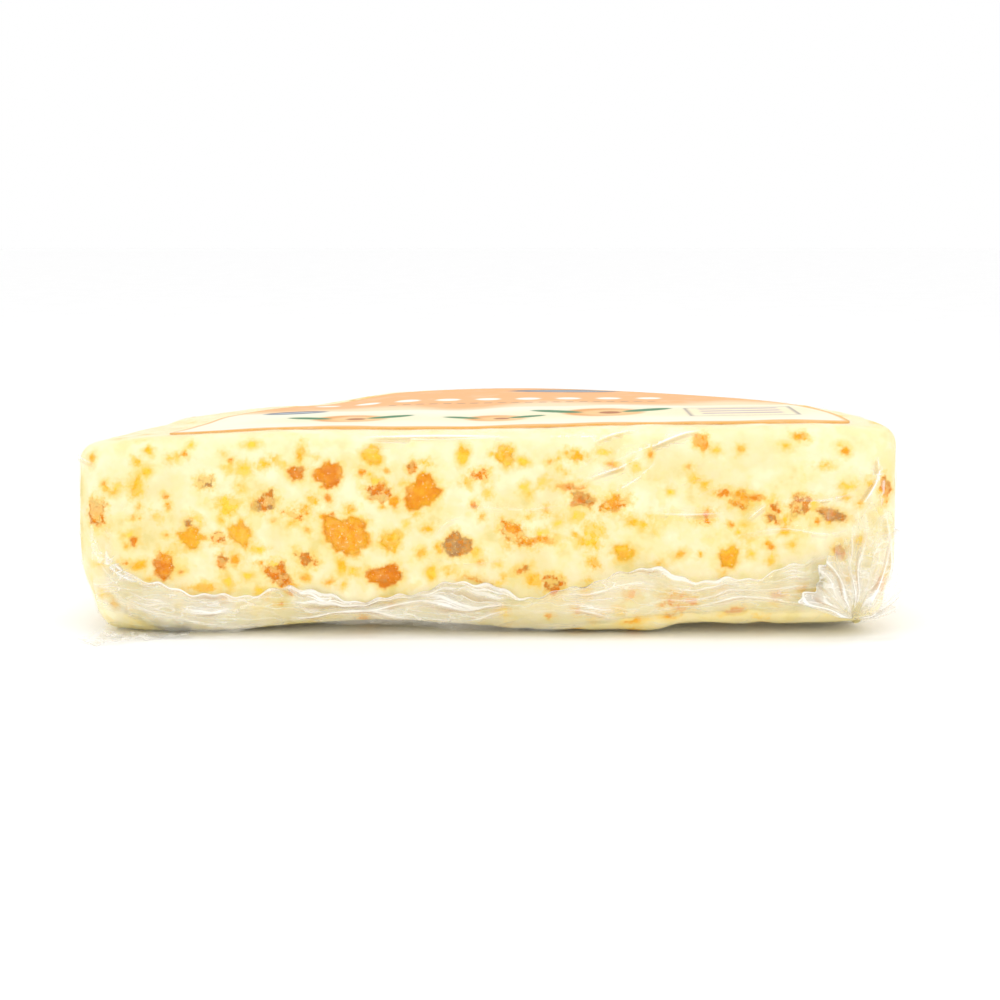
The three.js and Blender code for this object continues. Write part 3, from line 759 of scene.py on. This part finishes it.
def paste_material(settings):
    """Stilton paste: fresh white curd pressed round apricot. It gives a soft, slightly translucent cream
    with paler curds, yellow stains round the fruit, crumbs of it and a few dark specks, with painted olive
    shade in hollows, painted light on its upper part and painted shade at its foot."""
    material, add, where = new_material("white_stilton_paste")
    colour = fruit_over(add, where, curd_colour(add, where, settings))
    distance = add("TexVoronoi", {"Vector": where, "Scale": 90, "Randomness": 1})
    kept = add("MapRange", [distance.node.outputs["Color"], 0.62, 0.64, 0, 1], **SMOOTH)
    dot = add("MapRange", [distance, 0.014, 0.022, 0.8, 0], **SMOOTH)
    share = add("Math", [kept, dot], operation="MULTIPLY")
    colour = add("Mix", [share, colour, linear("#4a3a24")], data_type="RGBA")
    grain = add("TexNoise", [where, waves(2.2), 3])
    surface = add("BsdfPrincipled", {
        "Base Color": colour, "Roughness": 0.5, "IOR": 1.45, "Specular IOR Level": 0.1,
        "Subsurface Weight": 0.3, "Subsurface Radius": (1.0, 0.7, 0.35), "Subsurface Scale": 0.0016,
        "Normal": add("Bump", {"Height": grain, "Strength": 0.35, "Distance": 0.0004}),
    })
    add("OutputMaterial", [surface])
    return material


def apricot_material(settings):
    """Dried apricot, diced and pressed into the paste. It gives a moist, mottled orange that thins out to
    the paste's cream at its rim, with sugar-pale specks."""
    material, add, where = new_material("diced_dried_apricot")
    colour = fruit_over(add, where, curd_colour(add, where, settings))
    specks = add("MapRange", [add("TexNoise", [where, waves(0.6), 1]), 0.66, 0.74, 0, 0.6], **SMOOTH)
    colour = add("Mix", [specks, colour, linear("#ffe9b0")], data_type="RGBA")
    grain = add("TexNoise", [where, waves(1.1), 3])
    surface = add("BsdfPrincipled", {
        "Base Color": colour, "Roughness": 0.45, "IOR": 1.47, "Specular IOR Level": 0.1,
        "Subsurface Weight": 0.25, "Subsurface Radius": (1.0, 0.6, 0.25), "Subsurface Scale": 0.0016,
        "Normal": add("Bump", {"Height": grain, "Strength": 0.5, "Distance": 0.0004}),
    })
    add("OutputMaterial", [surface])
    return material


def crease_shares(add, low, high, painted_shade_strength):
    """How much a crease's painted highlight line and the painted shade line beside it cover, from the
    distance to its path.

    Both grow as the crease's rise goes from low to high.
    """
    side, rise = (add("Attribute", output="Fac", attribute_name=name) for name in ("fold_side", "fold_rise"))
    strength = add("MapRange", [rise, low, high, 0, 1], **SMOOTH)
    away = add("Math", [side], operation="ABSOLUTE")
    core = add("MapRange", [away, 0.04, 0.36, 0.55, 0], **SMOOTH)
    glow = add("MapRange", [away, 0.1, 1.9, 0.2, 0], **SMOOTH)
    painted_highlight = add("Math", [add("Math", [core, glow], operation="ADD"), strength], operation="MULTIPLY")
    beside = add("Math", [add("Math", [side, 0.8], operation="ADD")], operation="ABSOLUTE")
    shade = add("MapRange", [beside, 0.1, 0.7, painted_shade_strength, 0], **SMOOTH)
    return painted_highlight, add("Math", [shade, strength], operation="MULTIPLY")


def film_surface(add, veil_and_painted_highlight, painted_shade, normal, codes, sheen):
    """Film as gloss over clear: mirror-like where clear, white where milky or where a highlight is painted on
    a crease, tinted where shade is painted.

    The codes are the white of the milk and the painted highlights, and the tint of the painted shade lines.
    The sheen is the gloss's share at a flat angle.
    """
    share = add("Math", [veil_and_painted_highlight, painted_shade], operation="ADD", use_clamp=True)
    painted_shade_share = add("MapRange", [painted_shade, 0, 0.2, 0, 1], **SMOOTH)
    gloss = add("BsdfPrincipled", {
        "Base Color": add("Mix", [painted_shade_share, linear(codes[0]), linear(codes[1])], data_type="RGBA"),
        "Metallic": add("MapRange", [share, 0, 0.16, 1, 0], **SMOOTH), "Roughness": 0.14, "Normal": normal,
    })
    fresnel = add("Fresnel", [1.5, normal])
    total = add("Math", [fresnel, sheen, share], operation="MULTIPLY_ADD", use_clamp=True)
    add("OutputMaterial", [add("MixShader", [total, add("BsdfTransparent"), gloss])])


def clear_film_material():
    """Polyamide and polyethylene pouch film, drawn tight by vacuum. It gives clear gloss with faint ripples,
    and painted highlight lines on folds with painted shade lines beside them."""
    material, add, where = new_material("clear_vacuum_pouch_film")
    ripple = add("TexNoise", [where, waves(4.5), 3, 0.7])
    normal = add("Bump", {"Height": ripple, "Strength": 0.7, "Distance": 0.001})
    # Painted highlight lines on the folds and painted shade lines beside them.
    painted_highlight, painted_shade = crease_shares(add, 0.1, 0.55, 0.3)
    film_surface(add, painted_highlight, painted_shade, normal, ("#ffffff", "#cdb184"), 0.26)
    return material


def loose_film_material():
    """The same pouch film where it hangs loose in several layers. It gives a thin milky veil with sharp
    white glints, fading out where it clings again."""
    material, add, where = new_material("layered_pouch_film")
    streak = add("Mapping", {"Vector": where, "Scale": (0.35, 1.0, 1.6)})
    drawn = add("Mapping", {"Vector": where, "Scale": (0.3, 1.0, 1.0)})
    ripple = add("TexNoise", [streak, waves(2.6), 4, 0.7])
    normal = add("Bump", {"Height": ripple, "Strength": 0.5, "Distance": 0.0007})
    # Painted highlight lines on the pleats and edges, and fainter painted shade lines beside them.
    painted_highlight, painted_shade = crease_shares(add, 0.03, 0.5, 0.14)
    milk = add("MapRange", [add("TexNoise", [drawn, waves(7), 3]), 0.40, 0.62, 0.02, 0.18], **SMOOTH)
    # Painted glints: thin meandering white lines where a stretched noise crosses its middle.
    middle = add("Math", [add("TexNoise", [streak, waves(5), 2]), 0.5], operation="SUBTRACT")
    from_line = add("Math", [middle], operation="ABSOLUTE")
    painted_glint_lines = add("MapRange", [from_line, 0.003, 0.02, 0.22, 0], **SMOOTH)
    veil_and_painted_highlight = add("Math", [add("Math", [milk, painted_glint_lines], operation="ADD"), painted_highlight], operation="ADD")
    cover = add("Attribute", output="Fac", attribute_name="cover")
    veil_and_painted_highlight = add("Math", [veil_and_painted_highlight, cover], operation="MULTIPLY")
    film_surface(add, veil_and_painted_highlight, painted_shade, normal, ("#fffcf4", "#cfae84"), 0.2)
    return material


def label_material():
    """Coated paper label, printed in flat inks. It gives clean fields of colour with a soft sheen."""
    material, add, where = new_material("coated_paper_label")
    inks = add("Attribute", attribute_name="print")
    worn = add("MapRange", [add("TexNoise", [where, waves(9), 4, 0.6]), 0.5, 0.7, 0, 0.1], **SMOOTH)
    waved = add("TexNoise", [where, waves(12), 2])
    surface = add("BsdfPrincipled", {
        "Base Color": add("Mix", [worn, inks, linear("#fffdf2")], data_type="RGBA"),
        "Roughness": 0.42, "Specular IOR Level": 0.12,
        "Normal": add("Bump", {"Height": waved, "Strength": 0.3, "Distance": 0.0005}),
    })
    add("OutputMaterial", [surface])
    return material


def floor_material():
    """Matt white paper sweep. It gives an even white ground that takes a soft shadow."""
    material, add, where = new_material("matt_white_paper_sweep")
    fibres = add("TexNoise", [where, waves(40), 2])
    colour = add("ValToRGB", [fibres], stops=[(0.3, "#fdfdfd"), (0.7, "#ffffff")])
    add("OutputMaterial", [add("BsdfPrincipled", {"Base Color": colour, "Roughness": 0.9})])
    return material


def colour_property(name, description, code):
    """A colour property whose default is an sRGB hex code."""
    return bpy.props.FloatVectorProperty(
        name=name, description=description, default=linear(code), size=4, subtype="COLOR", min=0, max=1,
    )


class StiltonColours(bpy.types.PropertyGroup):
    """Main colours of the curd and of the label's print."""
    paste: colour_property("Paste", "Cream of the fresh curd", "#f8eabf")
    # Painted shade: the olive darker curd for the shadow in hollows.
    hollow_shade: colour_property("Hollows", "Curd in hollows", "#ead992")
    ground: colour_property("Label ground", "Ground of the label", "#eeecd6")
    band: colour_property("Label band", "Band at the label's back", "#fad8ae")
    ink: colour_property("Label rim", "Line round the label", "#e9b05c")


class StiltonSizes(bpy.types.PropertyGroup):
    """Sizes of the finish and powers of the lights."""
    film_fold: bpy.props.FloatProperty(
        name="Fold height", description="Height of the film's folds against the drawn ones", default=1.0,
        min=0, max=2, subtype="FACTOR",
    )
    curd_relief: bpy.props.FloatProperty(
        name="Curd relief", description="Unevenness of the paste's surface", default=0.00018, unit="LENGTH",
        subtype="DISTANCE",
    )
    key_power: bpy.props.FloatProperty(
        name="Top light", description="Power of the light over the wheel", default=0.9, unit="POWER",
    )
    side_power: bpy.props.FloatProperty(
        name="Side lights", description="Power of each light at the side", default=0.5, unit="POWER",
    )
    front_power: bpy.props.FloatProperty(
        name="Front light", description="Power of the low light in front", default=0.26, unit="POWER",
    )
    sky: bpy.props.FloatProperty(name="Sky", description="Strength of the even light", default=1.0, min=0)


class STILTON_OT_add_paste(bpy.types.Operator):
    """Adds the half wheel of paste with the small bits of apricot in its surface"""
    bl_idname = "stilton.add_paste"
    bl_label = "Paste"

    def execute(self, context):
        grid = half_wheel(PASTE_COLUMNS, WALL_ROWS)
        normal = wheel_normals(grid)
        fruits = cut_fruits() + side_fruits()
        points = poled(grid)
        inside, _, _ = fruit_fields(points, fruits)
        relief = context.scene.stilton_sizes.curd_relief * 1000
        curd = relief * (value_noise(points, 7, 1) + 0.5 * value_noise(points, 2.6, 2))
        pocket = 0.9 * smooth(inside, 0.7, 1.6)
        foot = foot_share(points)
        ridges = 0.36 * foot * value_noise(points * (1, 1, 2.2), 4.5, 6)
        vertices = points + poled(normal) * (PASTE_LIFT + curd + ridges - pocket)[:, None]
        vertices[:, 2] = np.maximum(vertices[:, 2], 0.3)
        inside, tone, crumble = fruit_fields(points, fruits + small_fruits())
        material = paste_material(context.scene.stilton_colours)
        piece = new_object("paste", vertices, poled_faces(*grid.shape[:2]), material)
        # The foot field also sets where painted shade darkens the curd.
        fields = {"inside": inside, "tone": tone, "crumble": crumble, "foot": foot}
        for name, values in fields.items():
            set_attribute(piece, name, values)
        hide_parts("sealed_cheese")
        return {"FINISHED"}


def apricot_grid(bit):
    """One piece as rings: over its front from the middle to the rim, then round its deep back to the middle.

    The front follows the wall at a small lift that fades towards the rim. The back is a bowl whose depth is
    the part's share of the mean width times the square root of 1 - share^2.
    """
    angle = np.linspace(0, 2 * math.pi, PIECE_COLUMNS, endpoint=False)
    front = np.linspace(0, 1, PIECE_ROWS)
    shares = np.concatenate([front, front[-2::-1][::2]])
    on_front = np.arange(len(shares)) < len(front)
    rim = PIECE_RIM * rim_share(bit["phases"], angle)
    flat = np.outer(shares, rim * np.cos(angle))[..., None] * bit["along"] * bit["half"][0]
    flat = flat + np.outer(shares, rim * np.sin(angle))[..., None] * bit["up"] * bit["half"][1]
    side = np.array([-math.sin(bit["facing"]), math.cos(bit["facing"]), 0])
    z = bit["centre"][2] + flat[..., 2]
    if bit["facing"] < 0:
        x, facing = bit["centre"][0] + flat @ side, bit["facing"]
        y = face_set_back(x)
    else:
        facing = bit["facing"] + (flat @ side) / WHEEL_RADIUS
        x, y = round_side(facing)
    depth = PIECE_DEPTH * 2 * bit["half"][:2].mean() * np.sqrt(1 - shares**2)
    dome = 0.44 * (1 - shares**4)
    lift = np.where(on_front, APRICOT_LIFT + dome, APRICOT_LIFT - 0.25 - depth)[:, None]
    out = wall_relief(x, y, z) + lift
    grid = np.stack([x + np.cos(facing) * out, y + np.sin(facing) * out, z], axis=-1)
    bumps = 0.14 * value_noise(grid, 1.6, 3) * on_front[:, None] * (1 - shares[:, None] ** 6)
    return grid + bit["outward"] * bumps[..., None]


def add_apricot(name, fruits, nodes):
    """Many pieces of apricot as one object, with the same fields as the bits in the paste."""
    vertices, faces, fields = [], [], []
    first = 0
    for bit in fruits:
        grid = apricot_grid(bit)
        rows, columns = grid.shape[:2]
        points = poled(grid)
        faces += [[corner + first for corner in face] for face in poled_faces(rows, columns)]
        first += len(points)
        vertices.append(points)
        fields.append(fruit_fields(points, [bit]))
    material = apricot_material(bpy.context.scene.stilton_colours)
    piece = new_object(name, np.concatenate(vertices), faces, material)
    for field, values in zip(("inside", "tone", "crumble"), zip(*fields)):
        set_attribute(piece, field, np.concatenate(values))
    # The foot field sets the painted shade at the foot, as in the paste.
    set_attribute(piece, "foot", foot_share(np.concatenate(vertices)))
    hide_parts(*nodes)
    return piece


class STILTON_OT_add_apricot(bpy.types.Operator):
    """Adds the large pieces of apricot in the cut face and in the round side"""
    bl_idname = "stilton.add_apricot"
    bl_label = "Apricot"

    def execute(self, context):
        cut = [f"apricot_cut_{i + 1:02d}" for i in range(len(CUT_PIECES))]
        side = [f"apricot_side_{i + 1:02d}" for i in range(SIDE_PIECES)]
        add_apricot("apricot_in_cut_face", cut_fruits(), cut)
        add_apricot("apricot_in_round_side", side_fruits(), side)
        return {"FINISHED"}


class STILTON_OT_add_film(bpy.types.Operator):
    """Adds the clear film that clings to the whole wheel, with its folds"""
    bl_idname = "stilton.add_film"
    bl_label = "Clinging film"

    def execute(self, context):
        grid = half_wheel(FILM_COLUMNS, WALL_ROWS)
        normal = wheel_normals(grid)
        places = poled(wall_places(grid))
        points = poled(grid)
        height, side, rise = fold_fields(places, CUT_FOLDS + seeded_folds())
        flat = 1 - smooth(np.abs(poled(normal)[:, 2]), 0.75, 0.97)
        folds = context.scene.stilton_sizes.film_fold * height * flat
        crumple = 0.7 * np.abs(value_noise(points, 3.4, 21)) * (1 - smooth(points[:, 2], 4, 9)) * flat
        vertices = points + poled(normal) * (FILM_LIFT + folds + crumple)[:, None]
        vertices[:, 2] = np.maximum(vertices[:, 2], 0.02)
        piece = new_object("clear_film", vertices, poled_faces(*grid.shape[:2]), clear_film_material())
        set_attribute(piece, "fold_side", side)
        # How strong each fold's painted highlight and shade lines are: its rise, less on the top and
        # underside.
        set_attribute(piece, "fold_rise", rise * (0.4 + 0.6 * flat))
        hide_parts("sealed_cheese")
        return {"FINISHED"}


def fin_grid():
    """The seam fin: rows from its root to its free edge, columns along the cut face.

    Between the two edge curves it leans out from the wall, flutters more towards the free edge, and has four
    long soft pleats whose height wanders along x. It returns the grid, the signed distance to the nearest
    pleat or to the free edge, the rise that sets how strong the painted highlight and shade on that line are,
    and how much the veil covers.
    """
    along, share = np.linspace(0, 0.97, 620), np.linspace(-0.2, 1, 40)[:, None]
    free, root = spline(FIN_FREE, along), spline(FIN_ROOT, along)
    tall = free[:, 1] - root[:, 1]
    x = root[:, 0] + (free[:, 0] - root[:, 0]) * share
    z = root[:, 1] + tall * share
    flutter = FIN_FLUTTER * (np.sin(x / 3.1) + 0.6 * np.sin(x / 1.7 + 1))
    out = -1.4 - FOOT_ROLL * smooth(x, -5, 25)
    belly = 0.7 * np.sin(math.pi * np.clip(share, 0, 1))
    tucked = 1.6 * smooth(-share, 0, 0.2)
    lean = out * (0.8 + 0.2 * smooth(share, 0, 0.3)) - belly + 0.2 * share + tucked
    middles = []
    for i in range(FIN_PLEATS):
        wander = 0.14 * np.sin(x / (8 + 3 * i) + 2 * i) + 0.05 * np.sin(x / 3.3 + i)
        middles.append(0.18 + 0.24 * i + wander)
    pleats = sum(-0.5 * bell(share - middle, 0.07) for middle in middles)
    y = lean + flutter * share + pleats + 0.25 * np.sin(x / 1.3 + 6 * share)
    z = z + 0.5 * np.sin(x / 2.3) * share + 0.35 * np.sin(x / 0.9 + 2) * share**3
    z = np.maximum(z, 0.6)
    edge = (share - 0.985) * tall + 0 * x
    nearest = np.abs(edge)
    for middle in middles:
        line = (share - middle) * tall
        edge = np.where(np.abs(line) < nearest, line, edge)
        nearest = np.minimum(nearest, np.abs(line))
    grid = np.stack([x, y, z], axis=-1)
    # Strength of the painted highlight and shade lines: patchy and weaker on the pleats, stronger along the
    # free edge, none at the left end.
    fading = 0.22 + 0.28 * value_noise(grid, 9, 12)
    rise = np.where(share > 0.93, 0.42 + 0.2 * value_noise(grid, 14, 13), fading)
    cover = (1 - smooth(x, 76, 86)) * (1 - 0.3 * smooth(x, -30, 5)) * (0.4 + 0.6 * smooth(share, 0, 0.25))
    rise = rise * smooth(x, -104, -78)
    return grid, edge, rise, cover


def gather_grid():
    """The gathered corner: rays from the gathering point out, columns round the fan, pleated by a sine wave.

    It returns the same fields as the fin.
    """
    around, share = np.linspace(0, 1, 260), np.linspace(0.03, 1, 40)[:, None]
    ray = spline(GATHER_REACH, around)
    angle, length = np.radians(ray[:, 0]), ray[:, 1]
    ragged = 1 + 0.05 * np.sin(41 * around) + 0.04 * np.sin(97 * around + 1)
    length = length * (1 + (ragged - 1) * share)
    pleat = PLEAT_DEPTH * np.sin(2 * math.pi * GATHER_PLEATS * around)
    pleat = pleat + 0.3 * np.sin(2 * math.pi * 17 * around + 3 * share)
    wrap = 3 * smooth(np.cos(angle), 0.1, 1)
    x = GATHER_CENTRE[0] + share * length * np.cos(angle)
    y = GATHER_CENTRE[1] - 6 * np.minimum(1, 3 * share) + share * (pleat + wrap)
    z = GATHER_CENTRE[2] + share * length * np.sin(angle)
    bend = around + 0.02 * np.sin(9 * share + 20 * around)
    ridge = (np.mod(bend * 13, 1) - 0.5) / 13 * 2.6 * length * share
    outer = (share - 0.99) * length
    low = smooth(angle, math.radians(105), math.radians(135))
    side = np.where(np.abs(outer) < np.abs(ridge) * low, outer, ridge)
    # Strength of the painted glint lines on the pleats and the outer edge, growing out from the gathering
    # point.
    rise = 0.4 * smooth(share, 0.05, 0.25) * (0.6 + 0.4 * np.sin(31 * around)) + 0 * side
    cover = 1.45 - (1 - low) * (0.25 + 0.85 * smooth(share, 0.4, 1))
    grid = np.stack([x, y, np.maximum(z, 0.4)], axis=-1)
    return grid[:, ::-1], side[:, ::-1], rise[:, ::-1], cover[:, ::-1]


def flap_grid():
    """The ear of film on the table: rows from the wheel's foot out, waved across, lifted at the wheel.

    It returns the same fields as the fin.
    """
    along, share = np.linspace(0, 1, 150), np.linspace(0, 1, 30)[:, None]
    x = FLAP_START + (FLAP_END - FLAP_START) * along
    reach = 2 + FLAP_REACH * bell(x + 99, 9)
    ripple = 0.3 * np.sin(x / 1.1 + 2 * share) + 0.2 * np.sin(x / 0.6 - 5 * share)
    y = 6 - (6 + reach + 0.4 * np.sin(x / 0.9)) * share
    z = 0.5 + 3.2 * (1 - share) ** 2 + 0.4 * (1 + np.sin(x / 2.4 + 3 * share)) + ripple * share
    side = np.minimum((0.98 - share) * 9 + 0 * x, 3)
    grid = np.stack([x + 8 * (1 - share) * (1 - along), y, np.maximum(z, 0.15)], axis=-1)
    # An even strength for the painted highlight along the ear's outer edge.
    return grid[::-1], side[::-1], np.full(side.shape, 0.3), np.full(side.shape, 0.75)


class STILTON_OT_add_loose_film(bpy.types.Operator):
    """Adds the seam fin, the gathered corner and the ear of film on the table"""
    bl_idname = "stilton.add_loose_film"
    bl_label = "Loose film"

    def execute(self, context):
        material = loose_film_material()
        makers = {"seam_fin": fin_grid, "gathered_corner": gather_grid, "film_ear": flap_grid}
        for name, maker in makers.items():
            grid, *fields = maker()
            piece = add_sheet(name, grid, SHEET_THICKNESS, material)
            for field, values in zip(("fold_side", "fold_rise", "cover"), fields):
                set_attribute(piece, field, np.tile(values.ravel(), 2))
            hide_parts("sealed_cheese")
        return {"FINISHED"}


def label_grid():
    """The label's face: columns along x, rows from the straight front edge to the arc, laid over the top.

    The corner rounding lifts the front edge near the two ends by a quarter circle.
    """
    side = np.linspace(-1, 1, 300) * (LABEL_RADIUS - 0.05)
    share = np.linspace(0, 1, 120)[:, None]
    arc = np.sqrt(LABEL_RADIUS**2 - side**2)
    into = np.clip(np.abs(side) - (LABEL_RADIUS - LABEL_CORNER), 0, LABEL_CORNER)
    front = LABEL_CORNER - np.sqrt(LABEL_CORNER**2 - into**2)
    y = LABEL_CENTRE[1] + front + (np.maximum(arc, front + 0.2) - front) * share
    x = LABEL_CENTRE[0] + side + 0 * share
    return np.stack([x, y, top_height(x, y) + LABEL_LIFT], axis=-1)


def lay(colour, distance, code, soft=0.5, strength=1.0):
    """Lays a colour where a signed distance in millimetres is negative, with a soft edge."""
    share = strength * np.clip(0.5 - distance / soft, 0, 1)[..., None]
    return colour * (1 - share) + np.array(linear(code)) * share


def ellipse(x, y, centre, half, turn=0.0):
    """About how far a point lies outside a turned ellipse, in millimetres."""
    turn = math.radians(turn)
    u = (x - centre[0]) * math.cos(turn) + (y - centre[1]) * math.sin(turn)
    v = (y - centre[1]) * math.cos(turn) - (x - centre[0]) * math.sin(turn)
    return (np.hypot(u / half[0], v / half[1]) - 1) * min(half)


def label_print(x, y, colours):
    """The print: cream ground, a peach band at the back, an orange rim, sliced fruit with leaves, slate seals
    and rows of pale and dark marks, none of them lettering."""
    ground = np.broadcast_to(np.array(linear(colours.ground)), x.shape + (4,)).copy()
    band = 41 + 2.5 * np.sin(x / 15) + 1.2 * np.sin(x / 5 + 1) - y
    ground = lay(ground, band, colours.band, 3.0)
    ground = lay(ground, band + 6 + 5 * np.sin(x / 8), "#f2ab66", 9.0, 0.9)
    for centre, half in LABEL_WASHES:
        ground = lay(ground, ellipse(x, y, centre, half), "#f6e6b8", 9.0, 0.7)
    for centre, size in LABEL_FRUITS:
        flesh = (centre[0] + 2, centre[1] - 1)
        ground = lay(ground, ellipse(x, y, centre, (size * 1.3, size)), "#e39a48", 2.0)
        ground = lay(ground, ellipse(x, y, flesh, (size, size * 0.75)), "#ecc080", 3.0)
        ground = lay(ground, ellipse(x, y, flesh, (size * 0.36, size * 0.3)), "#b06a30")
        for side in (-1, 1):
            leaf = (centre[0] + side * size * 1.5, centre[1] + 0.4 * size)
            ground = lay(ground, ellipse(x, y, leaf, (size * 0.9, size * 0.3), 25 * side), "#3a7d4c")
    for centre, half in LABEL_SEALS:
        ground = lay(ground, ellipse(x, y, centre, half), "#525e6b", 0.8)
        ground = lay(ground, ellipse(x, y, centre, (half[0] * 0.8, half[1] * 0.4)), "#b4bac2", 0.8)
    dots = np.hypot((np.mod(x + 60, 12) - 6) / 1.4, y - 62) - 2.6
    ground = lay(ground, np.maximum(dots, np.abs(x + 6) - 54), "#fff6ea", 0.8)
    dashes = np.maximum(np.abs(y - 53) - 0.9, np.abs(np.mod(x, 4) - 2) - 1.2)
    ground = lay(ground, np.maximum(dashes, np.abs(x - 4) - 40), "#a98763", 0.6, 0.8)
    box = np.maximum(np.abs(x - 64), 1.6 * np.abs(y - 24)) - 15
    ground = lay(ground, np.maximum(box, -box - 0.9), "#8c7c7c", 0.6, 0.8)
    bars = np.maximum(np.abs(x - 64) - 11, np.abs(np.mod(y - 18, 5) - 2.5) - 1.1)
    ground = lay(ground, np.maximum(bars, box + 3), "#a98aa4", 0.6, 0.7)
    rim = np.minimum(LABEL_RADIUS - np.hypot(x, y), y)
    ground = lay(ground, rim - 1.1, colours.ink, 0.8)
    return lay(ground, y - 3.6 - 0.9 * np.sin(x / 9) - 0.5 * np.sin(x / 3.7 + 1), colours.ink, 1.4)


class STILTON_OT_add_label(bpy.types.Operator):
    """Adds the half-round printed label on the top"""
    bl_idname = "stilton.add_label"
    bl_label = "Label"

    def execute(self, context):
        grid = label_grid()
        piece = add_sheet("printed_label", grid, LABEL_DEPTH, label_material())
        place = grid.reshape(-1, 3)[:, :2] - LABEL_CENTRE
        colour = label_print(place[:, 0], place[:, 1], context.scene.stilton_colours)
        layer = piece.data.attributes.new("print", "FLOAT_COLOR", "POINT")
        layer.data.foreach_set("color", np.concatenate([colour, colour]).astype(np.float32).ravel())
        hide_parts("label")
        return {"FINISHED"}


def add_area_light(name, place, towards, size, power):
    """A rectangular soft light at a place in the wheel's millimetres, turned towards another."""
    data = bpy.data.lights.new(name, "AREA")
    data.shape, data.size, data.size_y, data.energy = "RECTANGLE", size[0], size[1], power
    light = bpy.data.objects.new(name, data)
    start, end = to_part(place), to_part(towards)
    light.location = start
    light.rotation_euler = Vector(end - start).to_track_quat("-Z", "Y").to_euler()
    bpy.context.scene.collection.objects.link(light)


class STILTON_OT_add_stage(bpy.types.Operator):
    """Adds the white floor, the soft lights and the camera at the photograph's angle"""
    bl_idname = "stilton.add_stage"
    bl_label = "Stage"

    def execute(self, context):
        scene, sizes = context.scene, context.scene.stilton_sizes
        mesh = bpy.data.meshes.new("floor")
        corners = [(-1, -1), (1, -1), (1, 1), (-1, 1)]
        mesh.from_pydata([(FLOOR_HALF * x, FLOOR_HALF * y, 0) for x, y in corners], [], [(0, 1, 2, 3)])
        mesh.materials.append(floor_material())
        floor = bpy.data.objects.new("floor", mesh)
        scene.collection.objects.link(floor)
        world = bpy.data.worlds.new("white_tent")
        world.use_nodes = True
        background = world.node_tree.nodes["Background"]
        background.inputs["Color"].default_value = (1, 1, 1, 1)
        background.inputs["Strength"].default_value = sizes.sky
        scene.world = world
        for name, place, towards, size, power in LIGHTS:
            add_area_light(name, place, towards, size, getattr(sizes, power))
        camera = bpy.data.cameras.new("photo_camera")
        camera.lens, camera.sensor_width, camera.clip_start, camera.clip_end = CAMERA_LENS, 36, 0.01, 20
        holder = bpy.data.objects.new("photo_camera", camera)
        holder.location = to_part(CAMERA_PLACE)
        holder.rotation_euler = (math.radians(90 - CAMERA_PITCH), 0, 0)
        scene.collection.objects.link(holder)
        scene.camera = holder
        scene.view_settings.view_transform = "Standard"
        return {"FINISHED"}


class STILTON_PT_pieces(bpy.types.Panel):
    """Lists the pieces, their sizes and colours in the sidebar"""
    bl_idname = "STILTON_PT_pieces"
    bl_label = "Sealed half wheel"
    bl_space_type = "VIEW_3D"
    bl_region_type = "UI"
    bl_category = "Stilton"

    def draw(self, context):
        for operator in OPERATORS:
            self.layout.operator(operator.bl_idname)
        for group in (context.scene.stilton_sizes, context.scene.stilton_colours):
            for name in group.__annotations__:
                self.layout.prop(group, name)


OPERATORS = (
    STILTON_OT_add_stage, STILTON_OT_add_paste, STILTON_OT_add_apricot, STILTON_OT_add_film,
    STILTON_OT_add_loose_film, STILTON_OT_add_label,
)
CLASSES = (StiltonColours, StiltonSizes, *OPERATORS, STILTON_PT_pieces)


def register():
    for made in CLASSES:
        bpy.utils.register_class(made)
    bpy.types.Scene.stilton_colours = bpy.props.PointerProperty(type=StiltonColours)
    bpy.types.Scene.stilton_sizes = bpy.props.PointerProperty(type=StiltonSizes)


def unregister():
    del bpy.types.Scene.stilton_sizes
    del bpy.types.Scene.stilton_colours
    for made in reversed(CLASSES):
        bpy.utils.unregister_class(made)


def main():
    register()
    for operator in OPERATORS:
        group, name = operator.bl_idname.split(".")
        getattr(getattr(bpy.ops, group), name)()


if __name__ == "__main__":
    main()
